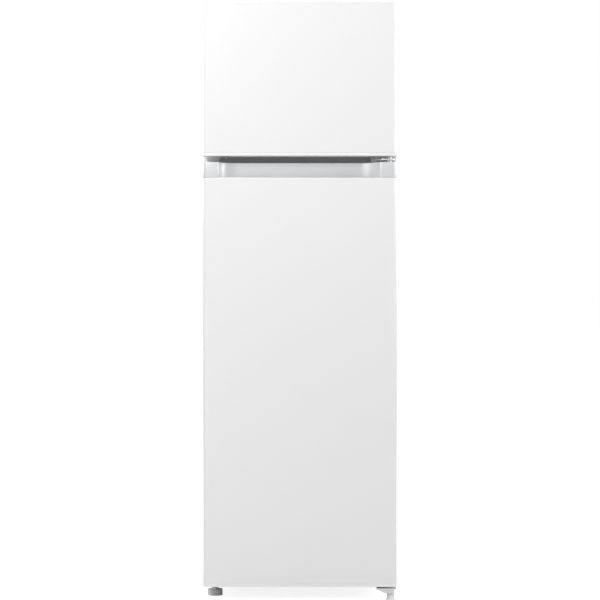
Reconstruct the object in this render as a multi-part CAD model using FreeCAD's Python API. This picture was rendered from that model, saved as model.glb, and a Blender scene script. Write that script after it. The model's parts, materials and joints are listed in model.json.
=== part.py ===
"""A slim two-door refrigerator with the freezer on top, cooled by wall evaporators and a rear wire condenser.

Row frame, in millimetres: the origin is on the floor under the middle of the bounding box, +Z is up,
the doors face -Y and +X is to the right of a person who faces them. Both doors are hinged on the right.
Each sub-part is one function that returns its solid or solids, and main() writes them all.
"""

import FreeCAD, Part
import math
import os
from FreeCAD import Vector

# ---- overall sizes -------------------------------------------------------------------------------------
WIDTH = 540.0
DOOR_FRONT_Y = -300.0
REAR_Y = 300.0
CABINET_TOP_Z = 1660.0
CABINET_BOTTOM_Z = 44.0
HALF_W = WIDTH / 2

# ---- doors ---------------------------------------------------------------------------------------------
DOOR_T = 58.0                 # from the front face to the liner's flat back
DOOR_CORNER_R = 12.0          # vertical front edges of a door
DOOR_BOTTOM_Z = 38.0          # underside of the lower door
DOOR_OVER_TOP = 8.0           # how far the upper door rises over the cabinet
DOOR_GAP = 17.5               # between the two doors
UPPER_SHARE = 429.75          # from the cabinet's top down to the middle of that gap
SKIN_T = 0.8                  # steel skin of a door
CAP_BAND = 6.5                # visible height of a plastic end cap
HANDLE_BAND = 43.5            # visible height of the grip moulding on the lower door
CAP_SKIRT = 18.0              # how far an end cap reaches inside the skin
CAP_WALL = 2.2
SKIN_CLEAR = 0.15             # between a skin and the cap inside it
GASKET_T = 12.0
GASKET_W = 18.0
GASKET_IN = 21.0              # from a door's side to the outside of its gasket
GASKET_CLEAR = 0.3            # between a gasket and the cabinet face
DYKE_D = 62.0                 # how far the liner's raised ring stands off its flat back
DYKE_W = 18.0
DOOR_LINER_T = 1.6

# ---- grip pocket in the lower door ---------------------------------------------------------------------
POCKET_LEFT_IN = 41.0         # from the door's left side
POCKET_RIGHT_IN = 47.0        # from the door's right side
POCKET_D = 34.0
POCKET_END_R = 60.0
POCKET_LIP = 4.0              # thickness of the lip that the fingers hook behind
POCKET_TRENCH = 27.0          # how far the pocket reaches down behind the lip

# ---- cabinet -------------------------------------------------------------------------------------------
SHELL_T = 0.8
SHELL_R = 6.0                 # long top corners of the shell
LINER_T = 1.6
CONDENSER_SPACE = 38.0        # from the back panel to the wall behind
FRONT_FLANGE_W = 42.0
FRIDGE_WALL = 45.0
FREEZER_WALL = 60.0
BACK_WALL = 50.0
FREEZER_BACK_WALL = 60.0
FLOOR_WALL = 50.0
TOP_WALL = 60.0
MULLION_H = 76.0
CAVITY_R = 14.0               # corners of the two compartments

# ---- compressor bay ------------------------------------------------------------------------------------
BAY_D = 167.0                 # from the back panel to the bay's front wall
BAY_H = 210.0
BAY_CHAMFER_Y = 40.0
BAY_CHAMFER_Z = 60.0
BAY_WALL = 47.0               # foam between the bay and the compartment

# ---- hinges --------------------------------------------------------------------------------------------
HINGE_IN = 20.0               # from the door's right side to the hinge axis
HINGE_BEHIND = 38.0           # from the door's front to the hinge axis
PIN_R = 4.0
PIN_CLEAR = 0.06
BOSS_R = 9.0
HINGE_PLATE_T = 3.5
HINGE_FLANGE_T = 2.5          # the part of a hinge that lies on the cabinet's face
PIN_REACH = 24.0

# ---- interior ------------------------------------------------------------------------------------------
RIB_OUT = 9.0
RIB_H = 6.0
RIB_PITCH = 70.0
FIRST_RIB_Z = 360.0
TOP_RIB_UNDER = 90.0          # least height from the top ledge to the ceiling
SHELF_BEHIND = 108.0          # from the cabinet's front face to the shelves' front edge
SHELF_REAR_GAP = 6.0
GLASS_T = 4.0
SHELF_SIDE_CLEAR = 3.0
TRIM_T = 2.5
SHELF_SHARES = {"glass_shelf_lower": 0.2, "glass_shelf_middle": 0.45, "glass_shelf_upper": 0.73}
CRISPER_COVER_Z = 300.0

# ---- worked out from the sizes above -------------------------------------------------------------------
DOOR_TOP_Z = CABINET_TOP_Z + DOOR_OVER_TOP
DOOR_GAP_MID_Z = CABINET_TOP_Z - UPPER_SHARE
HINGE_X = HALF_W - HINGE_IN
HINGE_Y = DOOR_FRONT_Y + HINGE_BEHIND
GASKET_HALF_W = HALF_W - GASKET_IN
POCKET_LEFT_X = -HALF_W + POCKET_LEFT_IN
POCKET_RIGHT_X = HALF_W - POCKET_RIGHT_IN
DOOR_BACK_Y = DOOR_FRONT_Y + DOOR_T
CABINET_FRONT_Y = DOOR_BACK_Y + GASKET_T
CABINET_BACK_Y = REAR_Y - CONDENSER_SPACE
SHELF_FRONT_Y = CABINET_FRONT_Y + SHELF_BEHIND
FREEZER_DOOR_BOTTOM_Z = DOOR_GAP_MID_Z + DOOR_GAP / 2
LOWER_DOOR_TOP_Z = DOOR_GAP_MID_Z - DOOR_GAP / 2
HANDLE_BOTTOM_Z = LOWER_DOOR_TOP_Z - HANDLE_BAND
FREEZER_FLOOR_Z = DOOR_GAP_MID_Z + MULLION_H / 2
FREEZER_CEILING_Z = CABINET_TOP_Z - TOP_WALL
FRIDGE_CEILING_Z = DOOR_GAP_MID_Z - MULLION_H / 2
FRIDGE_FLOOR_Z = CABINET_BOTTOM_Z + FLOOR_WALL
RIB_LEVELS = int((FRIDGE_CEILING_Z - TOP_RIB_UNDER - FIRST_RIB_Z) / RIB_PITCH) + 1
SHELF_LEVELS = {name: round(share * RIB_LEVELS) for name, share in SHELF_SHARES.items()}
FRIDGE_HALF_W = HALF_W - FRIDGE_WALL
FREEZER_HALF_W = HALF_W - FREEZER_WALL
FRIDGE_BACK_Y = CABINET_BACK_Y - BACK_WALL
FREEZER_BACK_Y = CABINET_BACK_Y - FREEZER_BACK_WALL
BAY_FRONT_Y = CABINET_BACK_Y - BAY_D
BAY_TOP_Z = CABINET_BOTTOM_Z + BAY_H
STEP_FRONT_Y = BAY_FRONT_Y - BAY_WALL
STEP_TOP_Z = CRISPER_COVER_Z - 6.0
FLANGE_INNER_X = HALF_W - FRONT_FLANGE_W

PARTS_DIR = "parts"


# ---- helpers -------------------------------------------------------------------------------------------
def box(x0, x1, y0, y1, z0, z1):
    """A box between two corners."""
    return Part.makeBox(x1 - x0, y1 - y0, z1 - z0, Vector(x0, y0, z0))


def cylinder(radius, base, height, axis=(0, 0, 1)):
    """A cylinder from the point base along axis."""
    return Part.makeCylinder(radius, height, Vector(*base), Vector(*axis))


def ring(outer_r, inner_r, base, height, axis=(0, 0, 1)):
    """A tube with a round bore."""
    bore_base = Vector(*base) - Vector(*axis) * 1.0
    bore = Part.makeCylinder(inner_r, height + 2.0, bore_base, Vector(*axis))
    return cylinder(outer_r, base, height, axis).cut(bore)


def joined(*shapes):
    """One solid from shapes that touch or overlap."""
    return shapes[0].multiFuse(list(shapes[1:])).removeSplitter()


def group(shapes):
    """Separate solids kept together in one node."""
    return Part.makeCompound(list(shapes))


def prism(points, direction):
    """A straight prism from a closed outline of points, pushed along direction."""
    outline = [Vector(*p) for p in points]
    face = Part.Face(Part.makePolygon(outline + outline[:1]))
    return face.extrude(Vector(*direction))


def prism_yz(points, x0, x1):
    """A prism along X from (y, z) points."""
    return prism([(x0, y, z) for y, z in points], (x1 - x0, 0, 0))


def prism_xy(points, z0, z1):
    """A prism along Z from (x, y) points."""
    return prism([(x, y, z0) for x, y in points], (0, 0, z1 - z0))


def parallel_edges(shape, axis, keep=lambda p: True):
    """Straight edges along axis whose middle passes the test keep."""
    found = []
    for edge in shape.Edges:
        if not isinstance(edge.Curve, (Part.Line, Part.LineSegment)):
            continue
        direction = (edge.Vertexes[-1].Point - edge.Vertexes[0].Point).normalize()
        middle = (edge.Vertexes[-1].Point + edge.Vertexes[0].Point) * 0.5
        if abs(direction.dot(Vector(*axis))) > 0.999 and keep(middle):
            found.append(edge)
    return found


def rounded(shape, radius, axis, keep=lambda p: True):
    """The shape with its straight edges along axis rounded."""
    edges = parallel_edges(shape, axis, keep)
    return shape.makeFillet(radius, edges) if edges and radius > 0 else shape


def rounded_box(x0, x1, y0, y1, z0, z1, radius, axis, keep=lambda p: True):
    """A box whose edges along axis are rounded."""
    return rounded(box(x0, x1, y0, y1, z0, z1), radius, axis, keep)


def tube(points, radius, bend_r):
    """A round bar along straight runs joined by tangent arcs of radius bend_r."""
    corners = [Vector(*p) for p in points]
    edges, start = [], corners[0]
    for before, corner, after in zip(corners, corners[1:], corners[2:]):
        to_before = (before - corner).normalize()
        to_after = (after - corner).normalize()
        half_angle = to_before.getAngle(to_after) / 2
        setback = bend_r / math.tan(half_angle)
        arc_start = corner + to_before * setback
        arc_end = corner + to_after * setback
        middle = (to_before + to_after).normalize()
        arc_mid = corner + middle * (bend_r / math.sin(half_angle) - bend_r)
        if (arc_start - start).Length > 1e-6:
            edges.append(Part.LineSegment(start, arc_start).toShape())
        edges.append(Part.Arc(arc_start, arc_mid, arc_end).toShape())
        start = arc_end
    edges.append(Part.LineSegment(start, corners[-1]).toShape())
    path = Part.Wire(edges)
    heading = (corners[1] - corners[0]).normalize()
    section = Part.Wire([Part.makeCircle(radius, corners[0], heading)])
    return path.makePipeShell([section], True, False)


def screw(position, axis, head_r, head_h, shank_r, shank_l):
    """A pan-head screw with a cross slot; position is under the head and axis points out of it."""
    out = Vector(*axis)
    base = Vector(*position)
    head = Part.makeCylinder(head_r, head_h, base, out)
    head = head.makeFillet(head_h * 0.5, [e for e in head.Edges if e.Closed and
                                          (e.CenterOfMass - base).dot(out) > head_h * 0.9])
    shank = Part.makeCylinder(shank_r, shank_l, base - out * shank_l, out)
    across = Vector(0, 0, 1) if abs(out.z) < 0.5 else Vector(1, 0, 0)
    side = out.cross(across)
    body = head.fuse(shank)
    for long_way in (across, side):
        slot = Part.makeBox(head_r * 1.1, 0.8, 1.2, Vector(-head_r * 0.55, -0.4, 0))
        placed = FreeCAD.Matrix(long_way.x, out.cross(long_way).x, out.x, 0,
                                long_way.y, out.cross(long_way).y, out.y, 0,
                                long_way.z, out.cross(long_way).z, out.z, 0, 0, 0, 0, 1)
        slot = slot.transformGeometry(placed)
        slot.translate(base + out * (head_h - 1.0))
        body = body.cut(slot)
    return body.removeSplitter()


# ---- cabinet shell, foam and liners --------------------------------------------------------------------
def bay_outline(inset=0.0):
    """(y, z) outline of the compressor bay, drawn in by inset on the foam's side."""
    return [
        (CABINET_BACK_Y, CABINET_BOTTOM_Z),
        (BAY_FRONT_Y + inset, CABINET_BOTTOM_Z),
        (BAY_FRONT_Y + inset, BAY_TOP_Z - BAY_CHAMFER_Z - inset * 0.5),
        (BAY_FRONT_Y + BAY_CHAMFER_Y + inset * 0.5, BAY_TOP_Z - inset),
        (CABINET_BACK_Y, BAY_TOP_Z - inset),
    ]


def step_outline(outset=0.0):
    """(y, z) outline of the step in the fridge compartment over the bay, grown by outset."""
    front = STEP_FRONT_Y - outset
    top = STEP_TOP_Z + outset
    return [
        (CABINET_BACK_Y, FRIDGE_FLOOR_Z - 60.0),
        (front, FRIDGE_FLOOR_Z - 60.0),
        (front, top - BAY_CHAMFER_Z),
        (front + BAY_CHAMFER_Y, top),
        (CABINET_BACK_Y, top),
    ]


def fridge_space(grow=0.0):
    """The fridge compartment as a solid; grow takes it out to the liner's outer face."""
    space = rounded_box(-FRIDGE_HALF_W - grow, FRIDGE_HALF_W + grow, CABINET_FRONT_Y, FRIDGE_BACK_Y + grow,
                        FRIDGE_FLOOR_Z - grow, FRIDGE_CEILING_Z + grow, CAVITY_R + grow, (0, 1, 0))
    return space.cut(prism_yz(step_outline(-grow), -HALF_W, HALF_W))


def freezer_space(grow=0.0):
    """The freezer compartment as a solid; grow takes it out to the liner's outer face."""
    return rounded_box(-FREEZER_HALF_W - grow, FREEZER_HALF_W + grow, CABINET_FRONT_Y, FREEZER_BACK_Y + grow,
                       FREEZER_FLOOR_Z - grow, FREEZER_CEILING_Z + grow, CAVITY_R + grow, (0, 1, 0))


def cabinet_shell():
    """The painted steel wrapper: two sides and the top, folded in at the front."""
    outside = rounded_box(-HALF_W, HALF_W, CABINET_FRONT_Y, CABINET_BACK_Y, CABINET_BOTTOM_Z, CABINET_TOP_Z,
                          SHELL_R, (0, 1, 0), lambda p: p.z > CABINET_BOTTOM_Z + 1)
    inside = rounded_box(-HALF_W + SHELL_T, HALF_W - SHELL_T, CABINET_FRONT_Y + SHELL_T, CABINET_BACK_Y + 1,
                         CABINET_BOTTOM_Z - 1, CABINET_TOP_Z - SHELL_T, SHELL_R - SHELL_T, (0, 1, 0),
                         lambda p: p.z > CABINET_BOTTOM_Z)
    mouth = box(-FLANGE_INNER_X, FLANGE_INNER_X, CABINET_FRONT_Y - 1, CABINET_FRONT_Y + 2,
                CABINET_BOTTOM_Z - 1, CABINET_TOP_Z - FRONT_FLANGE_W)
    return outside.cut(inside).cut(mouth)


RAIL_HALF_H = MULLION_H / 2 - 4.0


def mullion_rail():
    """The painted steel cross rail between the two compartments, that the middle hinge is screwed to."""
    return box(-FLANGE_INNER_X, FLANGE_INNER_X, CABINET_FRONT_Y, CABINET_FRONT_Y + SHELL_T,
               DOOR_GAP_MID_Z - RAIL_HALF_H, DOOR_GAP_MID_Z + RAIL_HALF_H)


BOTTOM_RAIL_TOP_Z = FRIDGE_FLOOR_Z - 4.0


def bottom_panel():
    """The steel floor of the cabinet with its front rail turned up."""
    floor = box(-HALF_W + SHELL_T, HALF_W - SHELL_T, CABINET_FRONT_Y + SHELL_T, BAY_FRONT_Y,
                CABINET_BOTTOM_Z, CABINET_BOTTOM_Z + 1.2)
    rail = box(-FLANGE_INNER_X, FLANGE_INNER_X, CABINET_FRONT_Y, CABINET_FRONT_Y + SHELL_T,
               CABINET_BOTTOM_Z, BOTTOM_RAIL_TOP_Z)
    return joined(floor, rail)


def flange_plate(x_half, z0, z1):
    """A liner's flat front flange."""
    return box(-x_half, x_half, CABINET_FRONT_Y, CABINET_FRONT_Y + LINER_T, z0, z1)


def side_ribs(half_w, levels, y0, y1):
    """Ledges on both side walls whose tops are at the given levels."""
    ribs = []
    for top in levels:
        for side in (-1, 1):
            wall = side * half_w
            inner = side * (half_w - RIB_OUT)
            rib = box(min(wall, inner), max(wall, inner), y0, y1, top - RIB_H, top)
            rib = rounded(rib, RIB_H * 0.45, (0, 0, 1), lambda p, e=inner: abs(p.x - e) < 0.1)
            ribs.append(rib)
    return ribs


def rib_tops():
    """Heights of the shelf ledges in the fridge compartment, the crisper cover's first."""
    return [CRISPER_COVER_Z - GLASS_T] + [FIRST_RIB_Z + i * RIB_PITCH for i in range(RIB_LEVELS)]


DRAIN_X = 60.0
DRAIN_Y = FRIDGE_BACK_Y - 14.0
DRAIN_BORE_R = 6.0
DRAIN_TUBE_R = 8.0


def fridge_liner():
    """The moulded inner wall of the fridge compartment, with shelf ledges, a gutter and a drain hole."""
    wall = fridge_space(LINER_T).cut(fridge_space())
    flange = flange_plate(FLANGE_INNER_X, BOTTOM_RAIL_TOP_Z, DOOR_GAP_MID_Z - RAIL_HALF_H).cut(fridge_space(0.0))
    ribs = side_ribs(FRIDGE_HALF_W, rib_tops(), SHELF_FRONT_Y, FRIDGE_BACK_Y)
    step = prism_yz(step_outline(), -HALF_W, HALF_W)
    liner = joined(wall, flange, *[rib.cut(step) for rib in ribs])
    hole = cylinder(DRAIN_TUBE_R + 0.2, (DRAIN_X, DRAIN_Y, STEP_TOP_Z - 10), 20)
    return liner.cut(hole)


FREEZER_SHELF_Z = FREEZER_FLOOR_Z + 161.75


def freezer_liner():
    """The moulded inner wall of the freezer compartment, with one pair of shelf ledges."""
    wall = freezer_space(LINER_T).cut(freezer_space())
    flange = flange_plate(FLANGE_INNER_X, DOOR_GAP_MID_Z + RAIL_HALF_H, CABINET_TOP_Z - FRONT_FLANGE_W)
    ribs = side_ribs(FREEZER_HALF_W, [FREEZER_SHELF_Z], SHELF_FRONT_Y, FREEZER_BACK_Y)
    return joined(wall, flange.cut(freezer_space()), *ribs)


def insulation_foam():
    """The foamed block between the shell and the liners."""
    block = rounded_box(-HALF_W + SHELL_T, HALF_W - SHELL_T, CABINET_FRONT_Y + SHELL_T, CABINET_BACK_Y - SHELL_T,
                        CABINET_BOTTOM_Z + 1.2, CABINET_TOP_Z - SHELL_T, SHELL_R - SHELL_T, (0, 1, 0),
                        lambda p: p.z > CABINET_BOTTOM_Z + 10)
    block = block.cut(prism_yz(bay_outline(), -HALF_W, HALF_W))
    block = block.cut(fridge_space(LINER_T)).cut(freezer_space(LINER_T))
    front_strip = box(-FLANGE_INNER_X, FLANGE_INNER_X, CABINET_FRONT_Y, CABINET_FRONT_Y + LINER_T,
                      CABINET_BOTTOM_Z, CABINET_TOP_Z - FRONT_FLANGE_W)
    block = block.cut(front_strip)
    drain = cylinder(DRAIN_TUBE_R, (DRAIN_X, DRAIN_Y, BAY_TOP_Z - 5), STEP_TOP_Z - BAY_TOP_Z + 5)
    block = block.cut(drain)
    return block.cut(evaporator_envelope())


# ---- evaporators in the foam ---------------------------------------------------------------------------
EVAP_SHEET_T = 1.0
EVAP_TUBE_R = 3.5
EVAP_FRONT_Y = CABINET_FRONT_Y + 40.0
EVAP_HIGH_Z = FRIDGE_CEILING_Z - 72.25
EVAP_LOW_Z = STEP_TOP_Z + 0.41864 * (EVAP_HIGH_Z - STEP_TOP_Z)
EVAP_HALF_W = FRIDGE_HALF_W - 55.0
EVAP_RUNS = 5


def freezer_evaporator_sheet(thick):
    """A channel of sheet under and beside the freezer liner."""
    gap = LINER_T
    outer = box(-FREEZER_HALF_W - gap - thick, FREEZER_HALF_W + gap + thick, EVAP_FRONT_Y, FREEZER_BACK_Y - 20,
                FREEZER_FLOOR_Z - gap - thick, FREEZER_CEILING_Z - 60)
    inner = rounded_box(-FREEZER_HALF_W - gap, FREEZER_HALF_W + gap, EVAP_FRONT_Y - 1, FREEZER_BACK_Y - 19,
                        FREEZER_FLOOR_Z - gap, FREEZER_CEILING_Z, CAVITY_R + gap, (0, 1, 0))
    return outer.cut(inner)


def fridge_evaporator_plate(thick):
    """A plate behind the back wall of the fridge compartment."""
    y0 = FRIDGE_BACK_Y + LINER_T
    return box(-EVAP_HALF_W, EVAP_HALF_W, y0, y0 + thick, EVAP_LOW_Z, EVAP_HIGH_Z)


def evaporator_envelope():
    """The room that both evaporators and their tubes take in the foam."""
    return group([freezer_evaporator_sheet(EVAP_SHEET_T + 2 * EVAP_TUBE_R),
                  fridge_evaporator_plate(EVAP_SHEET_T + 2 * EVAP_TUBE_R)])


def evaporators():
    """Two cooling plates with their tubes soldered on: one round the freezer, one behind the fridge wall."""
    z_tube = FREEZER_FLOOR_Z - LINER_T - EVAP_SHEET_T - EVAP_TUBE_R
    reach_x = FREEZER_HALF_W - 30
    pitch = (FREEZER_BACK_Y - 60 - EVAP_FRONT_Y) / (2 * EVAP_RUNS - 1)
    points = []
    for i in range(2 * EVAP_RUNS):
        y = EVAP_FRONT_Y + 20 + i * pitch
        ends = (-reach_x, reach_x) if i % 2 == 0 else (reach_x, -reach_x)
        points += [(ends[0], y, z_tube), (ends[1], y, z_tube)]
    freezer_tube = tube(points, EVAP_TUBE_R, pitch / 2 - 0.5)
    y_tube = FRIDGE_BACK_Y + LINER_T + EVAP_SHEET_T + EVAP_TUBE_R
    rows = 9
    drop = (EVAP_HIGH_Z - EVAP_LOW_Z - 60) / (rows - 1)
    reach_x = EVAP_HALF_W - 25
    points = []
    for i in range(rows):
        z = EVAP_HIGH_Z - 30 - i * drop
        ends = (-reach_x, reach_x) if i % 2 == 0 else (reach_x, -reach_x)
        points += [(ends[0], y_tube, z), (ends[1], y_tube, z)]
    fridge_tube = tube(points, EVAP_TUBE_R, drop / 2 - 0.5)
    return group([freezer_evaporator_sheet(EVAP_SHEET_T), freezer_tube,
                  fridge_evaporator_plate(EVAP_SHEET_T), fridge_tube])


# ---- bottom and rear of the cabinet --------------------------------------------------------------------
def bay_bulkhead():
    """The steel sheet that lines the compressor bay, with a hole for the drain tube."""
    outer = prism_yz(bay_outline(), -HALF_W + SHELL_T, HALF_W - SHELL_T)
    inner = prism_yz(bay_outline(1.0), -HALF_W, HALF_W)
    floor = box(-HALF_W, HALF_W, BAY_FRONT_Y + 1.0, CABINET_BACK_Y + 1, CABINET_BOTTOM_Z - 1,
                CABINET_BOTTOM_Z + 30)
    hole = cylinder(DRAIN_TUBE_R + 0.2, (DRAIN_X, DRAIN_Y, BAY_TOP_Z - 10), 20)
    return outer.cut(inner).cut(floor).cut(hole)


PANEL_BEAD_D = 3.0


def back_panel():
    """The flat steel back of the cabinet above the bay, stiffened by shallow upright beads."""
    panel = rounded_box(-HALF_W + SHELL_T, HALF_W - SHELL_T, CABINET_BACK_Y - SHELL_T, CABINET_BACK_Y,
                        BAY_TOP_Z, CABINET_TOP_Z - SHELL_T, SHELL_R - SHELL_T, (0, 1, 0),
                        lambda p: p.z > BAY_TOP_Z + 1)
    beads = []
    outer_x = HALF_W - 35.0
    for x in (-outer_x, -outer_x / 3, outer_x / 3, outer_x):
        bead = cylinder(PANEL_BEAD_D, (x, CABINET_BACK_Y - 0.4, BAY_TOP_Z + 60), CABINET_TOP_Z - BAY_TOP_Z - 156)
        keep = box(x - 10, x + 10, CABINET_BACK_Y - 0.4, CABINET_BACK_Y + 10, BAY_TOP_Z, CABINET_TOP_Z)
        beads.append(bead.common(keep))
    return joined(panel, *beads)


BASE_T = 1.5
BASE_FLANGE_H = 18.0
BASE_HALF_W = HALF_W - SHELL_T - 0.5
GROMMET_X = 88.0
GROMMET_Y = 52.0
COMPRESSOR_X = 30.0
COMPRESSOR_Y = CABINET_BACK_Y - 78.0
COMPRESSOR_R = 68.0


def compressor_base():
    """The folded steel tray across the bay that carries the compressor and the rollers."""
    y0, y1 = BAY_FRONT_Y + 2.0, CABINET_BACK_Y
    outer = box(-BASE_HALF_W, BASE_HALF_W, y0, y1, CABINET_BOTTOM_Z, CABINET_BOTTOM_Z + BASE_FLANGE_H)
    inner = box(-BASE_HALF_W - 1, BASE_HALF_W + 1, y0 + BASE_T, y1 - BASE_T,
                CABINET_BOTTOM_Z + BASE_T, CABINET_BOTTOM_Z + BASE_FLANGE_H + 1)
    tray = outer.cut(inner)
    for sx in (-1, 1):
        for sy in (-1, 1):
            at = (COMPRESSOR_X + sx * GROMMET_X, COMPRESSOR_Y + sy * GROMMET_Y, CABINET_BOTTOM_Z - 1)
            tray = tray.cut(cylinder(5.0, at, 10))
    return tray


def compressor_grommets():
    """Four rubber mounts under the compressor's feet."""
    mounts = []
    base_z = CABINET_BOTTOM_Z + BASE_T
    for sx in (-1, 1):
        for sy in (-1, 1):
            at = (COMPRESSOR_X + sx * GROMMET_X, COMPRESSOR_Y + sy * GROMMET_Y)
            body = joined(ring(11.0, 4.2, (*at, base_z), 6.0), ring(8.0, 4.2, (*at, base_z + 5.0), 9.0),
                          ring(11.0, 4.2, (*at, base_z + 13.0), 4.0))
            mounts.append(body)
    return group(mounts)


FOOT_PLATE_Z = CABINET_BOTTOM_Z + BASE_T + 17.0


def compressor():
    """The welded steel shell of the compressor on its foot plate, with a service stub."""
    z0 = FOOT_PLATE_Z + 2.5
    lower = cylinder(COMPRESSOR_R, (COMPRESSOR_X, COMPRESSOR_Y, z0 + 18), 50)
    seam = cylinder(COMPRESSOR_R + 2.5, (COMPRESSOR_X, COMPRESSOR_Y, z0 + 66), 5)
    upper = cylinder(COMPRESSOR_R - 1.5, (COMPRESSOR_X, COMPRESSOR_Y, z0 + 66), 34)

    def dome(radius, z, height, up):
        ball = Part.makeSphere(radius)
        squash = FreeCAD.Matrix()
        squash.scale(1, 1, height / radius)
        ball = ball.transformGeometry(squash)
        ball.translate(Vector(COMPRESSOR_X, COMPRESSOR_Y, z))
        keep_z = (z - 0.5, z + height + 1) if up else (z - height - 1, z + 0.5)
        return ball.common(box(COMPRESSOR_X - 90, COMPRESSOR_X + 90, COMPRESSOR_Y - 90, COMPRESSOR_Y + 90, *keep_z))

    top = dome(COMPRESSOR_R - 1.5, z0 + 100, 32, True)
    bottom = dome(COMPRESSOR_R, z0 + 18, 20, False)
    plate = rounded_box(COMPRESSOR_X - GROMMET_X - 14, COMPRESSOR_X + GROMMET_X + 14,
                        COMPRESSOR_Y - GROMMET_Y - 12, COMPRESSOR_Y + GROMMET_Y + 12,
                        FOOT_PLATE_Z, FOOT_PLATE_Z + 2.5, 10.0, (0, 0, 1))
    for sx in (-1, 1):
        for sy in (-1, 1):
            at = (COMPRESSOR_X + sx * GROMMET_X, COMPRESSOR_Y + sy * GROMMET_Y, FOOT_PLATE_Z - 1)
            plate = plate.cut(cylinder(4.2, at, 6))
    stub = cylinder(3.2, (COMPRESSOR_X + 40, COMPRESSOR_Y - 40, z0 + 80), 44)
    return joined(lower, seam, upper, top, bottom, plate, stub)


STARTER_X = COMPRESSOR_X - COMPRESSOR_R - 36.0
GLAND_R = 4.0
GLAND_L = 14.0
STARTER_Z = FOOT_PLATE_Z + 24.0


def starter_box():
    """The plastic cover over the compressor's relay and terminals, with a round cable gland to the rear."""
    x1 = COMPRESSOR_X - COMPRESSOR_R - 1.0
    cover = rounded_box(STARTER_X, x1, COMPRESSOR_Y - 30, COMPRESSOR_Y + 34, STARTER_Z, STARTER_Z + 62,
                        5.0, (1, 0, 0))
    shell_room = cylinder(COMPRESSOR_R + 3.0, (COMPRESSOR_X, COMPRESSOR_Y, STARTER_Z - 1), 70)
    collar_at = (STARTER_X + 14, COMPRESSOR_Y + 33, STARTER_Z + 14)
    collar = cylinder(8.0, collar_at, GLAND_L, (0, 1, 0))
    body = joined(cover.cut(shell_room), collar)
    mouth_y = collar_at[1] + GLAND_L
    bore = cylinder(GLAND_R, (collar_at[0], mouth_y - GLAND_L, collar_at[2]), GLAND_L + 1, (0, 1, 0))
    return body.cut(bore)


# ---- condenser and pipework ----------------------------------------------------------------------------
CONDENSER_Y = REAR_Y - 14.0
CONDENSER_TUBE_R = 2.4
CONDENSER_RUNS = 22
CONDENSER_LOW_Z = 330.0
CONDENSER_HIGH_Z = CABINET_TOP_Z - 100.0
CONDENSER_HALF_W = HALF_W - 45.0
CONDENSER_TAIL_X = CONDENSER_HALF_W + 18.0
WIRE_R = 0.75
WIRES_A_SIDE = 28
WIRE_SPAN = 2 * CONDENSER_HALF_W - 90.0


def condenser_pitch():
    """Height from one run of the condenser to the next."""
    return (CONDENSER_HIGH_Z - CONDENSER_LOW_Z) / (CONDENSER_RUNS - 1)


def condenser_tube():
    """The serpentine tube of the condenser, with both tails led down to the bay."""
    points = [(CONDENSER_HALF_W, CONDENSER_Y, CONDENSER_LOW_Z - 40)]
    for i in range(CONDENSER_RUNS):
        z = CONDENSER_LOW_Z + i * condenser_pitch()
        ends = (CONDENSER_HALF_W, -CONDENSER_HALF_W) if i % 2 == 0 else (-CONDENSER_HALF_W, CONDENSER_HALF_W)
        points += [(ends[0], CONDENSER_Y, z), (ends[1], CONDENSER_Y, z)]
    points[-1] = (CONDENSER_TAIL_X, CONDENSER_Y, CONDENSER_HIGH_Z)
    points.append((CONDENSER_TAIL_X, CONDENSER_Y, CONDENSER_LOW_Z - 40))
    return tube(points, CONDENSER_TUBE_R, 15.0)


def condenser_wires():
    """The upright wires welded to both sides of the serpentine."""
    wires = []
    pitch = WIRE_SPAN / (WIRES_A_SIDE - 1)
    low = CONDENSER_LOW_Z - 10
    length = CONDENSER_HIGH_Z - CONDENSER_LOW_Z + 20
    for side in (-1, 1):
        y = CONDENSER_Y + side * (CONDENSER_TUBE_R + WIRE_R)
        for i in range(WIRES_A_SIDE):
            x = -WIRE_SPAN / 2 + i * pitch + (pitch / 4) * side
            wires.append(cylinder(WIRE_R, (x, y, low), length))
    return group(wires)


BRACKET_Z = (CONDENSER_LOW_Z + 3.5 * (CONDENSER_HIGH_Z - CONDENSER_LOW_Z) / (CONDENSER_RUNS - 1),
             CONDENSER_LOW_Z + 17.5 * (CONDENSER_HIGH_Z - CONDENSER_LOW_Z) / (CONDENSER_RUNS - 1))
BRACKET_X = CONDENSER_HALF_W - 27.0


def condenser_brackets():
    """Four plastic stand-offs that carry the condenser and keep the cabinet off the wall."""
    brackets = []
    half_pitch = condenser_pitch() / 2
    for z in BRACKET_Z:
        for side in (-1, 1):
            x = side * BRACKET_X
            foot = rounded_box(x - 8, x + 8, CABINET_BACK_Y, CABINET_BACK_Y + 4, z - 44, z + 44, 4.0, (0, 1, 0))
            post = rounded_box(x - 6, x + 6, CABINET_BACK_Y + 3, REAR_Y, z - 20, z + 20, 3.0, (0, 1, 0))
            clips = []
            for end in (-1, 1):
                arm = box(x - 4, x + 4, CABINET_BACK_Y + 3, CONDENSER_Y + 5.5,
                          z + end * half_pitch - 5, z + end * half_pitch + 5)
                groove = cylinder(CONDENSER_TUBE_R + 0.1, (x - 10, CONDENSER_Y, z + end * half_pitch),
                                  20, (1, 0, 0))
                mouth = box(x - 10, x + 10, CONDENSER_Y, CONDENSER_Y + 10,
                            z + end * half_pitch - 2.0, z + end * half_pitch + 2.0)
                clips.append(arm.cut(groove).cut(mouth))
            brackets.append(joined(foot, post, *clips))
    return group(brackets)


DRIER_X = HALF_W - 120.0
DRIER_Y = CABINET_BACK_Y - 36.0
DRIER_Z = 150.0


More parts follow.
